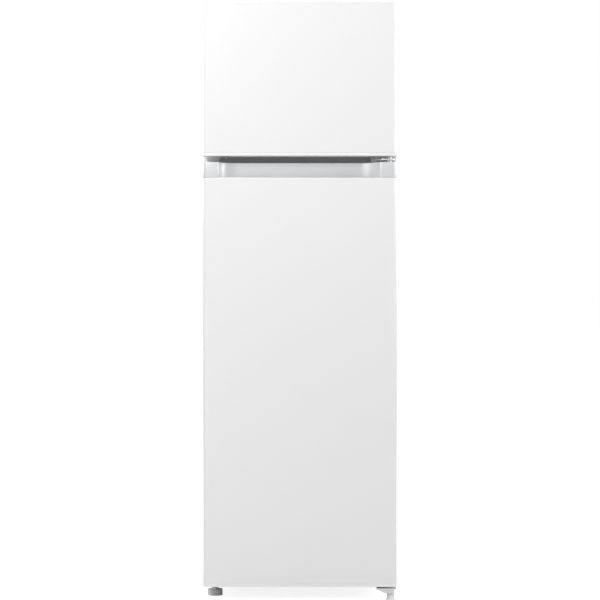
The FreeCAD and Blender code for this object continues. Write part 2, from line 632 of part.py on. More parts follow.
def filter_drier():
    """The copper drier pot between the condenser and the capillary."""
    body = cylinder(9.0, (DRIER_X, DRIER_Y, DRIER_Z), 70)
    low_neck = Part.makeCone(3.0, 9.0, 12, Vector(DRIER_X, DRIER_Y, DRIER_Z - 12), Vector(0, 0, 1))
    high_neck = Part.makeCone(9.0, 3.0, 12, Vector(DRIER_X, DRIER_Y, DRIER_Z + 70), Vector(0, 0, 1))
    return joined(body, low_neck, high_neck)


def refrigerant_lines():
    """Discharge, liquid, suction and capillary pipes of the bay."""
    z0 = FOOT_PLATE_Z + 2.5
    edge_y = COMPRESSOR_Y + COMPRESSOR_R - 4
    tail_x = CONDENSER_TAIL_X
    low = CONDENSER_LOW_Z - 40
    bay_y = CABINET_BACK_Y - 22.0
    suction_x = -HALF_W + 120.0
    discharge = tube([(COMPRESSOR_X + 64, COMPRESSOR_Y, z0 + 40), (COMPRESSOR_X + 110, COMPRESSOR_Y, z0 + 40),
                      (COMPRESSOR_X + 110, bay_y, z0 + 40), (tail_x, bay_y, z0 + 40),
                      (tail_x, CONDENSER_Y, z0 + 40), (tail_x, CONDENSER_Y, low)], 2.4, 9.0)
    liquid = tube([(DRIER_X, DRIER_Y, DRIER_Z + 81), (DRIER_X, DRIER_Y, BAY_TOP_Z - 8),
                   (DRIER_X + 40, DRIER_Y, BAY_TOP_Z - 8), (DRIER_X + 40, CONDENSER_Y, BAY_TOP_Z - 8),
                   (CONDENSER_HALF_W, CONDENSER_Y, BAY_TOP_Z - 8),
                   (CONDENSER_HALF_W, CONDENSER_Y, low)], 2.4, 7.0)
    outside_y = CABINET_BACK_Y + 7.0
    suction = tube([(COMPRESSOR_X - 20, edge_y - 2, z0 + 88), (COMPRESSOR_X - 20, outside_y, z0 + 88),
                    (suction_x, outside_y, z0 + 88), (suction_x, outside_y, BAY_TOP_Z + 40),
                    (suction_x, CABINET_BACK_Y, BAY_TOP_Z + 40)], 3.2, 6.0)
    capillary = tube([(DRIER_X, DRIER_Y, DRIER_Z - 11), (DRIER_X, DRIER_Y, DRIER_Z - 34),
                      (DRIER_X + 24, DRIER_Y, DRIER_Z - 34),
                      (DRIER_X + 24, DRIER_Y + 24, DRIER_Z - 34),
                      (DRIER_X + 24, DRIER_Y + 24, BAY_TOP_Z - 30)], 1.1, 8.0)
    pots = group([compressor(), filter_drier()])
    return group([line.cut(pots) for line in (discharge, liquid, suction, capillary)])


TRAY_Z = FOOT_PLATE_Z + 2.5 + 132.0


def evaporating_tray():
    """The open plastic tray over the compressor that catches defrost water."""
    outer = rounded_box(COMPRESSOR_X - 78, COMPRESSOR_X + 96, COMPRESSOR_Y - 44, COMPRESSOR_Y + 62,
                        TRAY_Z, TRAY_Z + 30, 12.0, (0, 0, 1))
    inner = rounded_box(COMPRESSOR_X - 76, COMPRESSOR_X + 94, COMPRESSOR_Y - 42, COMPRESSOR_Y + 60,
                        TRAY_Z + 2, TRAY_Z + 31, 10.0, (0, 0, 1))
    return outer.cut(inner)


def drain_tube():
    """The tube that leads water from the fridge's gutter through the foam to the tray."""
    pipe = ring(DRAIN_TUBE_R, DRAIN_BORE_R, (DRAIN_X, DRAIN_Y, TRAY_Z + 14), STEP_TOP_Z - TRAY_Z - 14)
    return pipe


# ---- hinges, feet and rollers --------------------------------------------------------------------------
PLATE_TOP_Z = CABINET_TOP_Z + HINGE_PLATE_T


def top_hinge():
    """The steel hinge plate on the cabinet top, with its pin down into the freezer door."""
    arm = box(HINGE_X - 11, HINGE_X + 11, HINGE_Y, CABINET_FRONT_Y + 80, CABINET_TOP_Z, PLATE_TOP_Z)
    nose = cylinder(11.0, (HINGE_X, HINGE_Y, CABINET_TOP_Z), HINGE_PLATE_T)
    wing = rounded_box(HINGE_X - 62, HINGE_X + 14, CABINET_FRONT_Y + 18, CABINET_FRONT_Y + 80, CABINET_TOP_Z,
                       PLATE_TOP_Z, 8.0, (0, 0, 1))
    pin = cylinder(PIN_R, (HINGE_X, HINGE_Y, CABINET_TOP_Z - PIN_REACH), PIN_REACH + 1)
    return joined(arm, nose, wing, pin)


COVER_H = 13.0


def top_hinge_cover():
    """The plastic cap over the top hinge, hollow underneath."""
    z1 = PLATE_TOP_Z + COVER_H

    def outline(inset, top):
        nose = cylinder(18.5 - inset, (HINGE_X, HINGE_Y, CABINET_TOP_Z), top - CABINET_TOP_Z)
        y0, y1 = CABINET_FRONT_Y + 10 + inset, CABINET_FRONT_Y + 88 - inset
        arm = box(HINGE_X - 18.5 + inset, HINGE_X + 18.5 - inset, HINGE_Y, y1, CABINET_TOP_Z, top)
        wing = rounded_box(HINGE_X - 70 + inset, HINGE_X + 18.5 - inset, y0, y1, CABINET_TOP_Z, top,
                           10.0 - inset, (0, 0, 1))
        return joined(nose, arm, wing)

    outer = outline(0.0, z1)
    top_edges = [e for e in outer.Edges if abs(e.BoundBox.ZMin - z1) < 0.01 and abs(e.BoundBox.ZMax - z1) < 0.01]
    outer = outer.makeFillet(3.0, top_edges)
    return outer.cut(outline(2.0, z1 - 2.0))


def mid_hinge():
    """The middle hinge: a plate between the doors with a pin each way, on a flange screwed to the rail."""
    z0 = DOOR_GAP_MID_Z - HINGE_PLATE_T / 2
    z1 = DOOR_GAP_MID_Z + HINGE_PLATE_T / 2
    plate = box(HINGE_X - 34, HINGE_X + 14, HINGE_Y, CABINET_FRONT_Y, z0, z1)
    nose = rounded_box(HINGE_X - 26, HINGE_X + 14, HINGE_Y - 26, HINGE_Y + 1, z0, z1, 9.0, (0, 0, 1),
                       lambda p: p.y < HINGE_Y - 5)
    flange = rounded_box(HINGE_X - 50, HINGE_X + 16, CABINET_FRONT_Y - HINGE_FLANGE_T, CABINET_FRONT_Y,
                         DOOR_GAP_MID_Z - 16, DOOR_GAP_MID_Z + 16, 4.0, (0, 1, 0))
    low_z = LOWER_DOOR_TOP_Z + 0.2
    high_z = FREEZER_DOOR_BOTTOM_Z - 0.2
    collar = cylinder(BOSS_R - 1.5, (HINGE_X, HINGE_Y, low_z), high_z - low_z)
    pin_l = DOOR_GAP + 2 * PIN_REACH
    pin = cylinder(PIN_R, (HINGE_X, HINGE_Y, DOOR_GAP_MID_Z - pin_l / 2), pin_l)
    return joined(plate, nose, flange, collar, pin)


LOW_PLATE_Z = DOOR_BOTTOM_Z - 8.0


def bottom_hinge():
    """The bottom hinge bracket with its pin up, a front lip that tapers to the left, and a foot thread."""
    z0, z1 = LOW_PLATE_Z, LOW_PLATE_Z + HINGE_PLATE_T
    plate = rounded_box(HINGE_X - 36, HINGE_X + 18, DOOR_FRONT_Y + 4, CABINET_FRONT_Y, z0, z1, 5.0, (0, 0, 1),
                        lambda p: p.y < HINGE_Y)
    lip = prism([(HINGE_X - 36, DOOR_FRONT_Y + 4, z1), (HINGE_X + 13, DOOR_FRONT_Y + 4, z1),
                 (HINGE_X + 13, DOOR_FRONT_Y + 4, z0 - 10), (HINGE_X - 16, DOOR_FRONT_Y + 4, z0 - 10)],
                (0, HINGE_PLATE_T, 0))
    flange = rounded_box(HINGE_X - 50, HINGE_X + 16, CABINET_FRONT_Y - HINGE_FLANGE_T, CABINET_FRONT_Y,
                         z0, LOW_PLATE_Z + 34, 3.0, (0, 1, 0), lambda p: p.z > z1)
    collar = cylinder(BOSS_R - 1.5, (HINGE_X, HINGE_Y, z0), DOOR_BOTTOM_Z - 0.2 - z0)
    pin = cylinder(PIN_R, (HINGE_X, HINGE_Y, z0), DOOR_BOTTOM_Z - z0 + PIN_REACH)
    body = joined(plate, lip, flange, collar, pin)
    return body.cut(cylinder(STUD_R + 0.05, (RIGHT_FOOT_X, RIGHT_FOOT_Y, z0 - 1), HINGE_PLATE_T + 2))


STUD_R = 4.0
RIGHT_FOOT_X = HINGE_X + 3.0
RIGHT_FOOT_Y = HINGE_Y - 20.0
RIGHT_FOOT_R = 11.5
LEFT_FOOT_X = -HALF_W + 29.0
LEFT_FOOT_Y = CABINET_FRONT_Y + 34.0
LEFT_FOOT_R = 21.0
LEFT_FOOT_H = 17.0


def right_foot():
    """The slim levelling foot that screws up into the bottom hinge bracket."""
    sole = Part.makeCone(RIGHT_FOOT_R + 1.5, RIGHT_FOOT_R - 2, 7, Vector(RIGHT_FOOT_X, RIGHT_FOOT_Y, 0))
    barrel = Part.makeCylinder(RIGHT_FOOT_R - 2, 12.0, Vector(RIGHT_FOOT_X, RIGHT_FOOT_Y, 6.5))
    head = Part.makeCylinder(RIGHT_FOOT_R - 1, 4.0, Vector(RIGHT_FOOT_X, RIGHT_FOOT_Y, 18.0))
    stud = Part.makeCylinder(STUD_R, LOW_PLATE_Z + HINGE_PLATE_T + 1.5 - 20, Vector(RIGHT_FOOT_X, RIGHT_FOOT_Y, 20))
    return joined(sole, barrel, head, stud)


LEFT_FOOT_RIBS = 20


def left_foot():
    """The broad ribbed levelling foot that screws up into the cabinet's floor."""
    at = Vector(LEFT_FOOT_X, LEFT_FOOT_Y, 0)
    disc = Part.makeCylinder(LEFT_FOOT_R, LEFT_FOOT_H, at)
    for i in range(LEFT_FOOT_RIBS):
        turn = 2 * math.pi * i / LEFT_FOOT_RIBS
        groove_at = at + Vector(math.cos(turn), math.sin(turn), 0) * (LEFT_FOOT_R + 0.6) + Vector(0, 0, 2.5)
        disc = disc.cut(Part.makeCylinder(2.0, LEFT_FOOT_H, groove_at))
    neck = Part.makeCylinder(9.0, 6.0, at + Vector(0, 0, LEFT_FOOT_H - 0.5))
    stud = Part.makeCylinder(STUD_R, CABINET_BOTTOM_Z - LEFT_FOOT_H + 8, at + Vector(0, 0, LEFT_FOOT_H))
    return joined(disc, neck, stud)


def left_foot_room():
    """Clearance for the left foot's stud through the floor and up into the foam."""
    at = (LEFT_FOOT_X, LEFT_FOOT_Y, CABINET_BOTTOM_Z - 1)
    return cylinder(STUD_R + 0.05, at, 12.0)


ROLLER_R = 14.0
ROLLER_W = 16.0
ROLLER_X = HALF_W - 48.0
ROLLER_Y = CABINET_BACK_Y - 24.0
AXLE_R = 3.0


def roller(side):
    """A grooved transport roller with a bore."""
    x0 = side * ROLLER_X - ROLLER_W / 2
    tyre = cylinder(ROLLER_R, (x0, ROLLER_Y, ROLLER_R), ROLLER_W, (1, 0, 0))
    tyre = tyre.makeFillet(1.5, [e for e in tyre.Edges if e.Closed])
    bore = cylinder(AXLE_R + PIN_CLEAR, (x0 - 1, ROLLER_Y, ROLLER_R), ROLLER_W + 2, (1, 0, 0))
    return tyre.cut(bore)


def roller_brackets():
    """Two folded forks under the compressor base, each with its roller's axle."""
    forks = []
    for side in (-1, 1):
        x = side * ROLLER_X
        half = ROLLER_W / 2 + 1.0
        crown = box(x - half - 2, x + half + 2, ROLLER_Y - 14, ROLLER_Y + 14, CABINET_BOTTOM_Z - 2, CABINET_BOTTOM_Z)
        cheeks = []
        for end in (-1, 1):
            at = x + end * (half + 1)
            cheek = rounded_box(at - 1, at + 1, ROLLER_Y - 9, ROLLER_Y + 9, 6, CABINET_BOTTOM_Z - 1, 6.0, (1, 0, 0),
                                lambda p: p.z < 10)
            cheeks.append(cheek)
        axle = cylinder(AXLE_R, (x - half - 3, ROLLER_Y, ROLLER_R), 2 * half + 6, (1, 0, 0))
        forks.append(joined(crown, *cheeks, axle))
    return group(forks)


HINGE_SCREW_R = 1.9
HINGE_SCREW_L = 8.0
TOP_SCREWS = ((50.0, CABINET_FRONT_Y + 64.0), (50.0, CABINET_FRONT_Y + 34.0), (0.0, CABINET_FRONT_Y + 64.0))
FACE_SCREW_X = (42.0, 20.0)   # inboard of the hinge axis, as the first of each pair above
FACE_SCREW_Z = (DOOR_GAP_MID_Z - 9.0, DOOR_GAP_MID_Z + 9.0, LOW_PLATE_Z + 20.0, LOW_PLATE_Z + 29.0)


def hinge_screw_places():
    """(position, axis) of every screw in the three hinges and of the compressor's bolts."""
    places = [((HINGE_X - x, y, PLATE_TOP_Z), (0, 0, 1)) for x, y in TOP_SCREWS]
    face = CABINET_FRONT_Y - HINGE_FLANGE_T
    for x in FACE_SCREW_X:
        places += [((HINGE_X - x, face, z), (0, -1, 0)) for z in FACE_SCREW_Z]
    return places


def drilled(shape):
    """The shape with a clearance hole for each hinge screw that passes through it."""
    for position, axis in hinge_screw_places():
        inner_end = Vector(*position) - Vector(*axis) * (HINGE_SCREW_L + 1)
        hole = Part.makeCylinder(HINGE_SCREW_R + 0.05, HINGE_SCREW_L + 2, inner_end, Vector(*axis))
        if hole.BoundBox.intersect(shape.BoundBox):
            shape = shape.cut(hole)
    return shape


def cabinet_screws():
    """The screws of the three hinges and the four compressor bolts."""
    screws = [screw(position, axis, 3.6, 2.2, HINGE_SCREW_R, HINGE_SCREW_L)
              for position, axis in hinge_screw_places()]
    top = FOOT_PLATE_Z + 2.5
    for sx in (-1, 1):
        for sy in (-1, 1):
            at = (COMPRESSOR_X + sx * GROMMET_X, COMPRESSOR_Y + sy * GROMMET_Y, top)
            screws.append(screw(at, (0, 0, 1), 7.0, 4.0, 3.9, top - CABINET_BOTTOM_Z))
    return group(screws)


PLUG_R = 4.2
PLUG_H = 1.8


def hinge_hole_plugs():
    """Blanking plugs over the unused hinge holes on the left."""
    plugs = []
    for x, y in TOP_SCREWS:
        button = cylinder(PLUG_R, (x - HINGE_X, y, CABINET_TOP_Z), PLUG_H)
        rim = [e for e in button.Edges if e.Closed and e.CenterOfMass.z > CABINET_TOP_Z + PLUG_H / 2]
        plugs.append(button.makeFillet(PLUG_H * 0.7, rim))
    for x in FACE_SCREW_X:
        plugs += [cylinder(PLUG_R, (x - HINGE_X, CABINET_FRONT_Y, z), PLUG_H, (0, -1, 0)) for z in FACE_SCREW_Z]
    return group(plugs)


# ---- fridge interior -----------------------------------------------------------------------------------
HOUSING_HALF_W = 105.0
HOUSING_H = 36.0
HOUSING_FRONT_Y = CABINET_FRONT_Y + 60.0
HOUSING_BACK_Y = HOUSING_FRONT_Y + 150.0
KNOB_X = -55.0
KNOB_Y = HOUSING_FRONT_Y + 50.0
KNOB_R = 17.0
KNOB_H = 13.0
SWITCH_X = 70.0
SWITCH_R = 4.5
LENS_T = 2.0


def lens_outline(z0, z1, inset=0.0):
    """The lamp window under the rear of the control housing."""
    return rounded_box(-80 + inset, 80 - inset, HOUSING_FRONT_Y + 88 + inset, HOUSING_BACK_Y - 10 - inset, z0, z1,
                       8.0 - inset, (0, 0, 1))


def control_housing():
    """The moulded box on the fridge ceiling that holds the thermostat, the lamp and the door switch."""
    z1 = FRIDGE_CEILING_Z
    z0 = z1 - HOUSING_H
    outer = rounded_box(-HOUSING_HALF_W, HOUSING_HALF_W, HOUSING_FRONT_Y, HOUSING_BACK_Y, z0, z1, 14.0, (0, 0, 1))
    outer = outer.makeFillet(4.0, [e for e in outer.Edges if abs(e.BoundBox.ZMax - z0) < 0.01])
    inner = rounded_box(-HOUSING_HALF_W + 2.5, HOUSING_HALF_W - 2.5, HOUSING_FRONT_Y + 2.5, HOUSING_BACK_Y - 2.5,
                        z0 + 2.5, z1 + 1, 11.5, (0, 0, 1))
    shell = outer.cut(inner)
    shell = shell.cut(lens_outline(z0 - 1, z0 + 4))
    shaft_hole = cylinder(4.0 + PIN_CLEAR, (KNOB_X, KNOB_Y, z0 - 1), 13)
    shaft_boss = cylinder(8.0, (KNOB_X, KNOB_Y, z0 + 1), 9)
    guide = cylinder(7.5, (SWITCH_X, HOUSING_FRONT_Y + 1, z0 + 18), 14, (0, 1, 0))
    guide_hole = cylinder(SWITCH_R + 0.08, (SWITCH_X, HOUSING_FRONT_Y - 1, z0 + 18), 30, (0, 1, 0))
    return joined(shell, shaft_boss, guide).cut(shaft_hole).cut(guide_hole)


def lamp_lens():
    """The clear window over the lamp."""
    z0 = FRIDGE_CEILING_Z - HOUSING_H
    window = lens_outline(z0, z0 + LENS_T, 0.1)
    rim = lens_outline(z0 + 2.5, z0 + 4.0, -3.0)
    return joined(window, lens_outline(z0 + 1.0, z0 + 3.0, 0.1), rim)


def thermostat_knob():
    """The round thermostat knob under the housing, with finger flutes and a pointer rib."""
    z1 = FRIDGE_CEILING_Z - HOUSING_H - 0.4
    body = cylinder(KNOB_R, (KNOB_X, KNOB_Y, z1 - KNOB_H), KNOB_H)
    body = body.makeFillet(2.0, [e for e in body.Edges if e.Closed and e.CenterOfMass.z < z1 - KNOB_H + 1])
    for i in range(12):
        turn = 2 * math.pi * i / 12
        at = (KNOB_X + (KNOB_R + 2.2) * math.cos(turn), KNOB_Y + (KNOB_R + 2.2) * math.sin(turn), z1 - KNOB_H - 1)
        body = body.cut(cylinder(3.4, at, KNOB_H - 3))
    pointer = box(KNOB_X - 1.2, KNOB_X + 1.2, KNOB_Y - KNOB_R + 3, KNOB_Y, z1 - KNOB_H - 1.0, z1 - KNOB_H + 1)
    shaft = cylinder(4.0, (KNOB_X, KNOB_Y, z1 - 1), 11.0)
    return joined(body, pointer, shaft)


def light_switch_plunger():
    """The round door-switch plunger; its nose stops just short of the closed door's liner."""
    nose_y = DOOR_BACK_Y + DYKE_D + 0.6
    z = FRIDGE_CEILING_Z - HOUSING_H + 18
    body = cylinder(SWITCH_R, (SWITCH_X, nose_y, z), HOUSING_FRONT_Y + 12 - nose_y, (0, 1, 0))
    return body.makeFillet(1.5, [e for e in body.Edges if e.Closed and e.CenterOfMass.y < nose_y + 1])


def lamp_and_thermostat():
    """Inside the control housing: the lamp on its holder and the thermostat's body over the knob's shaft."""
    z0 = FRIDGE_CEILING_Z - HOUSING_H
    y = HOUSING_FRONT_Y + 114
    holder = joined(box(-78, -48, y - 14, y + 14, z0 + 6, z0 + 30),
                    cylinder(10.0, (-49, y, z0 + 18), 14, (1, 0, 0)))
    bulb = joined(cylinder(8.0, (-35, y, z0 + 18), 30, (1, 0, 0)), Part.makeSphere(12.5, Vector(6, y, z0 + 18)))
    body = box(KNOB_X - 20, KNOB_X + 20, KNOB_Y - 14, KNOB_Y + 14, z0 + 14, z0 + 33)
    return group([holder, bulb, body])


def shelf_rear_y():
    """Where the fridge shelves end at the back."""
    return FRIDGE_BACK_Y - SHELF_REAR_GAP


def shelf_heights():
    """Underside height of each glass plate, the crisper cover included."""
    heights = {name: FIRST_RIB_Z + i * RIB_PITCH for name, i in SHELF_LEVELS.items()}
    heights["crisper_glass"] = CRISPER_COVER_Z - GLASS_T
    return heights


def glass_plate(z):
    """One toughened glass plate."""
    half = FRIDGE_HALF_W - SHELF_SIDE_CLEAR
    return rounded_box(-half, half, SHELF_FRONT_Y + TRIM_T, shelf_rear_y() - TRIM_T, z, z + GLASS_T, 4.0, (0, 0, 1))


def shelf_trims():
    """The plastic edge trims: one along the front and one along the rear of every glass plate."""
    trims = []
    half = FRIDGE_HALF_W - RIB_OUT - 1.5
    for z in shelf_heights().values():
        front = box(-half, half, SHELF_FRONT_Y, SHELF_FRONT_Y + 16, z - TRIM_T, z + GLASS_T + TRIM_T)
        front = rounded(front, 2.2, (1, 0, 0), lambda p: p.y < SHELF_FRONT_Y + 1)
        rear = box(-half, half, shelf_rear_y() - 14, shelf_rear_y(), z - TRIM_T, z + GLASS_T + TRIM_T)
        upstand = box(-half, half, shelf_rear_y() - TRIM_T, shelf_rear_y(), z, z + GLASS_T + 12)
        plate = glass_plate(z)
        if z < STEP_TOP_Z + GLASS_T:
            step = prism_yz(step_outline(0.2), -HALF_W, HALF_W)
            rear = rear.cut(step)
        trims.append(front.cut(plate))
        trims.append(joined(rear, upstand).cut(plate))
    return group(trims)


CRISPER_HALF_W = FRIDGE_HALF_W - 21.0
CRISPER_FRONT_Y = SHELF_FRONT_Y + 4.0
CRISPER_H = 186.0
CRISPER_WALL = 2.2


def crisper_drawer():
    """The clear vegetable drawer: a tapered bin with a taller front that has a grip along its top."""
    z0 = FRIDGE_FLOOR_Z + 2.0
    z1 = z0 + CRISPER_H
    back = STEP_FRONT_Y - 4.0

    def body(inset, top):
        outline = [(CRISPER_FRONT_Y + inset, z0 + inset), (back - 6 - inset, z0 + inset),
                   (back - inset, top), (CRISPER_FRONT_Y + inset, top)]
        solid = prism_yz(outline, -CRISPER_HALF_W + inset, CRISPER_HALF_W - inset)
        return rounded(solid, 12.0 - inset, (0, 1, 0), lambda p: p.z < z0 + 5 + inset)

    bin_shell = body(0.0, z1 - 12).cut(body(CRISPER_WALL, z1))
    rim_out = box(-CRISPER_HALF_W - 3, CRISPER_HALF_W + 3, CRISPER_FRONT_Y, back + 2, z1 - 15, z1 - 12)
    rim_in = box(-CRISPER_HALF_W + CRISPER_WALL, CRISPER_HALF_W - CRISPER_WALL, CRISPER_FRONT_Y + CRISPER_WALL,
                 back - CRISPER_WALL, z1 - 16, z1 - 11)
    front = rounded_box(-CRISPER_HALF_W - 5, CRISPER_HALF_W + 5, CRISPER_FRONT_Y - 3, CRISPER_FRONT_Y + 1,
                        z0, z1 - 2, 10.0, (0, 1, 0))
    grip = box(-70, 70, CRISPER_FRONT_Y - 3, CRISPER_FRONT_Y + 14, z1 - 6, z1 - 2)
    return joined(bin_shell, rim_out.cut(rim_in), front, grip)


WIRE_SHELF_R = 2.0
SHELF_WIRES = 22


def freezer_shelf():
    """The white coated wire shelf of the freezer: a bent frame, cross rods and close bars."""
    half = FREEZER_HALF_W - 4.0
    y0, y1 = SHELF_FRONT_Y + 6, FREEZER_BACK_Y - 10
    z = FREEZER_SHELF_Z + 3.0
    frame = tube([(0, y0, z), (half, y0, z), (half, y1, z), (-half, y1, z), (-half, y0, z), (-1, y0, z)], 3.0, 14.0)
    close = cylinder(3.0, (-2, y0, z), 3, (1, 0, 0))
    parts = [frame, close]
    for share in (0.3, 0.7):
        y = y0 + (y1 - y0) * share
        parts.append(cylinder(2.5, (-half, y, z), 2 * half, (1, 0, 0)))
    pitch = 2 * (half - 20) / (SHELF_WIRES - 1)
    for i in range(SHELF_WIRES):
        x = -half + 20 + i * pitch
        parts.append(cylinder(WIRE_SHELF_R, (x, y0, z + 1.5), y1 - y0, (0, 1, 0)))
    return joined(*parts)


# ---- doors ---------------------------------------------------------------------------------------------
def door_block(z0, z1, inset=0.0, back=DOOR_BACK_Y):
    """The full body of a door between two heights, drawn in by inset from its sides and front."""
    return rounded_box(-HALF_W + inset, HALF_W - inset, DOOR_FRONT_Y + inset, back, z0, z1,
                       DOOR_CORNER_R - inset, (0, 0, 1), lambda p: p.y < DOOR_FRONT_Y + inset + 1)


def door_skin(z0, z1):
    """The painted steel pan: the front and both sides, with a narrow turn-in at the back edges."""
    pan = door_block(z0, z1).cut(door_block(z0 - 1, z1 + 1, SKIN_T, DOOR_BACK_Y + 1))
    turn_ins = []
    for side in (-1, 1):
        x0, x1 = sorted((side * (HALF_W - SKIN_T / 2), side * (HALF_W - 8)))
        turn_ins.append(box(x0, x1, DOOR_BACK_Y - SKIN_T, DOOR_BACK_Y, z0, z1))
    return joined(pan, *turn_ins)


def hinge_bore(z0, z1):
    """The bore for a hinge pin."""
    return cylinder(PIN_R + PIN_CLEAR, (HINGE_X, HINGE_Y, z0), z1 - z0)


def hinge_boss(z0, z1):
    """The round wall about a hinge pin's bore."""
    return cylinder(BOSS_R, (HINGE_X, HINGE_Y, z0), z1 - z0)


def cap_envelope(z_face, up):
    """An end cap with nothing cut out: a visible band, a hollow skirt inside the skin and the hinge boss.
    z_face is the door's end face, and up is 1 for a top cap and -1 for a bottom cap."""
    band_in = z_face - up * CAP_BAND
    skirt_in = band_in - up * CAP_SKIRT
    band = door_block(min(z_face, band_in), max(z_face, band_in))
    inset = SKIN_T + SKIN_CLEAR
    lo, hi = sorted((band_in, skirt_in))
    back = DOOR_BACK_Y - DOOR_LINER_T - 0.2
    skirt = door_block(lo, hi, inset, back)
    hollow = door_block(lo, hi, inset + CAP_WALL, back - CAP_WALL)
    boss_lo, boss_hi = sorted((z_face, z_face - up * (PIN_REACH + 6)))
    return joined(band, skirt.cut(hollow), hinge_boss(boss_lo, boss_hi))


def pin_hole(z_face, up):
    """The blind bore of an end cap, open at the door's end face."""
    inner = z_face - up * (PIN_REACH + 3)
    lo, hi = sorted((z_face + up, inner))
    return hinge_bore(lo, hi)


RECESS_X = HINGE_X - 20.0
RECESS_D = 11.0
RECESS_FLOOR_Z = DOOR_TOP_Z - RECESS_D


def hinge_recess():
    """The corner room over the freezer door that the top hinge swings in, open to the right and the rear."""
    return box(RECESS_X, HALF_W + 1, DOOR_FRONT_Y + 5, DOOR_BACK_Y + 1, RECESS_FLOOR_Z, DOOR_TOP_Z + 1)


def freezer_door_top_cap():
    """The freezer door's top cap, with the corner recess that the top hinge swings in."""
    cap = cap_envelope(DOOR_TOP_Z, 1)
    shelf = door_block(RECESS_FLOOR_Z - CAP_WALL, RECESS_FLOOR_Z, SKIN_T + SKIN_CLEAR, DOOR_BACK_Y - 2)
    under = shelf.common(box(RECESS_X - CAP_WALL, HALF_W, DOOR_FRONT_Y, DOOR_BACK_Y, 0, DOOR_TOP_Z))
    bore = hinge_bore(RECESS_FLOOR_Z - PIN_REACH, DOOR_TOP_Z + 1)
    boss = hinge_boss(RECESS_FLOOR_Z - PIN_REACH - 4, RECESS_FLOOR_Z)
    return joined(cap, under, boss).cut(hinge_recess()).cut(bore)


def grip_groove():
    """The finger groove under the freezer door."""
    z0 = FREEZER_DOOR_BOTTOM_Z
    groove = rounded_box(-200, 200, DOOR_FRONT_Y + 12, DOOR_FRONT_Y + 40, z0 - 1, z0 + 14, 12.0, (0, 0, 1))
    return groove


def grip_groove_wall():
    """The moulded wall round the finger groove."""
    z0 = FREEZER_DOOR_BOTTOM_Z
    return rounded_box(-200 - CAP_WALL, 200 + CAP_WALL, DOOR_FRONT_Y + 12 - CAP_WALL, DOOR_FRONT_Y + 40 + CAP_WALL,
                       z0, z0 + 14 + CAP_WALL, 12.0 + CAP_WALL, (0, 0, 1))


def freezer_door_bottom_cap():
    """The freezer door's bottom cap, with a finger groove along it."""
    cap = joined(cap_envelope(FREEZER_DOOR_BOTTOM_Z, -1), grip_groove_wall())
    return cap.cut(grip_groove()).cut(pin_hole(FREEZER_DOOR_BOTTOM_Z, -1))


def fridge_door_bottom_cap():
    """The lower door's bottom cap."""
    return cap_envelope(DOOR_BOTTOM_Z, -1).cut(pin_hole(DOOR_BOTTOM_Z, -1))


def pocket_profile(grow=0.0):
    """Plan face of the grip pocket: flat at the back, with round ends that run out at the front face."""
    depth = POCKET_D + grow
    radius = POCKET_END_R + grow
    reach = math.sqrt(2 * radius * depth - depth * depth)
    y0, y1 = DOOR_FRONT_Y, DOOR_FRONT_Y + depth
    left_x, right_x = POCKET_LEFT_X - grow, POCKET_RIGHT_X + grow

    def arc(edge_x, inward):
        centre = Vector(edge_x + inward * reach, y1 - radius, 0)
        start = Vector(edge_x, y0, 0)
        end = Vector(edge_x + inward * reach, y1, 0)
        middle_dir = ((start - centre) + (end - centre)).normalize()
        return Part.Arc(start, centre + middle_dir * radius, end).toShape()

    left = arc(left_x, 1)
    right = arc(right_x, -1)
    back = Part.LineSegment(Vector(left_x + reach, y1, 0), Vector(right_x - reach, y1, 0)).toShape()
    front = Part.LineSegment(Vector(right_x, y0, 0), Vector(left_x, y0, 0)).toShape()
    return Part.Face(Part.Wire(Part.__sortEdges__([left, back, right, front])))


def pocket_prism(grow, z0, z1):
    """The pocket's plan pushed up from z0 to z1."""
    face = pocket_profile(grow)
    face.translate(Vector(0, 0, z0))
    return face.extrude(Vector(0, 0, z1 - z0))


def pocket_space():
    """The open room of the grip pocket: full depth over the lip, and a trench down behind it."""
    upper = pocket_prism(0.0, HANDLE_BOTTOM_Z, LOWER_DOOR_TOP_Z + 1)
    front_room = box(POCKET_LEFT_X, POCKET_RIGHT_X, DOOR_FRONT_Y - 1, DOOR_FRONT_Y + 0.01,
                     HANDLE_BOTTOM_Z, LOWER_DOOR_TOP_Z + 1)
    lower = pocket_prism(0.0, HANDLE_BOTTOM_Z - POCKET_TRENCH, HANDLE_BOTTOM_Z + 0.01)
    behind_lip = box(-HALF_W, HALF_W, DOOR_FRONT_Y + POCKET_LIP, DOOR_FRONT_Y + 100,
                     HANDLE_BOTTOM_Z - POCKET_TRENCH, HANDLE_BOTTOM_Z + 0.01)
    return joined(upper, front_room, lower.common(behind_lip))


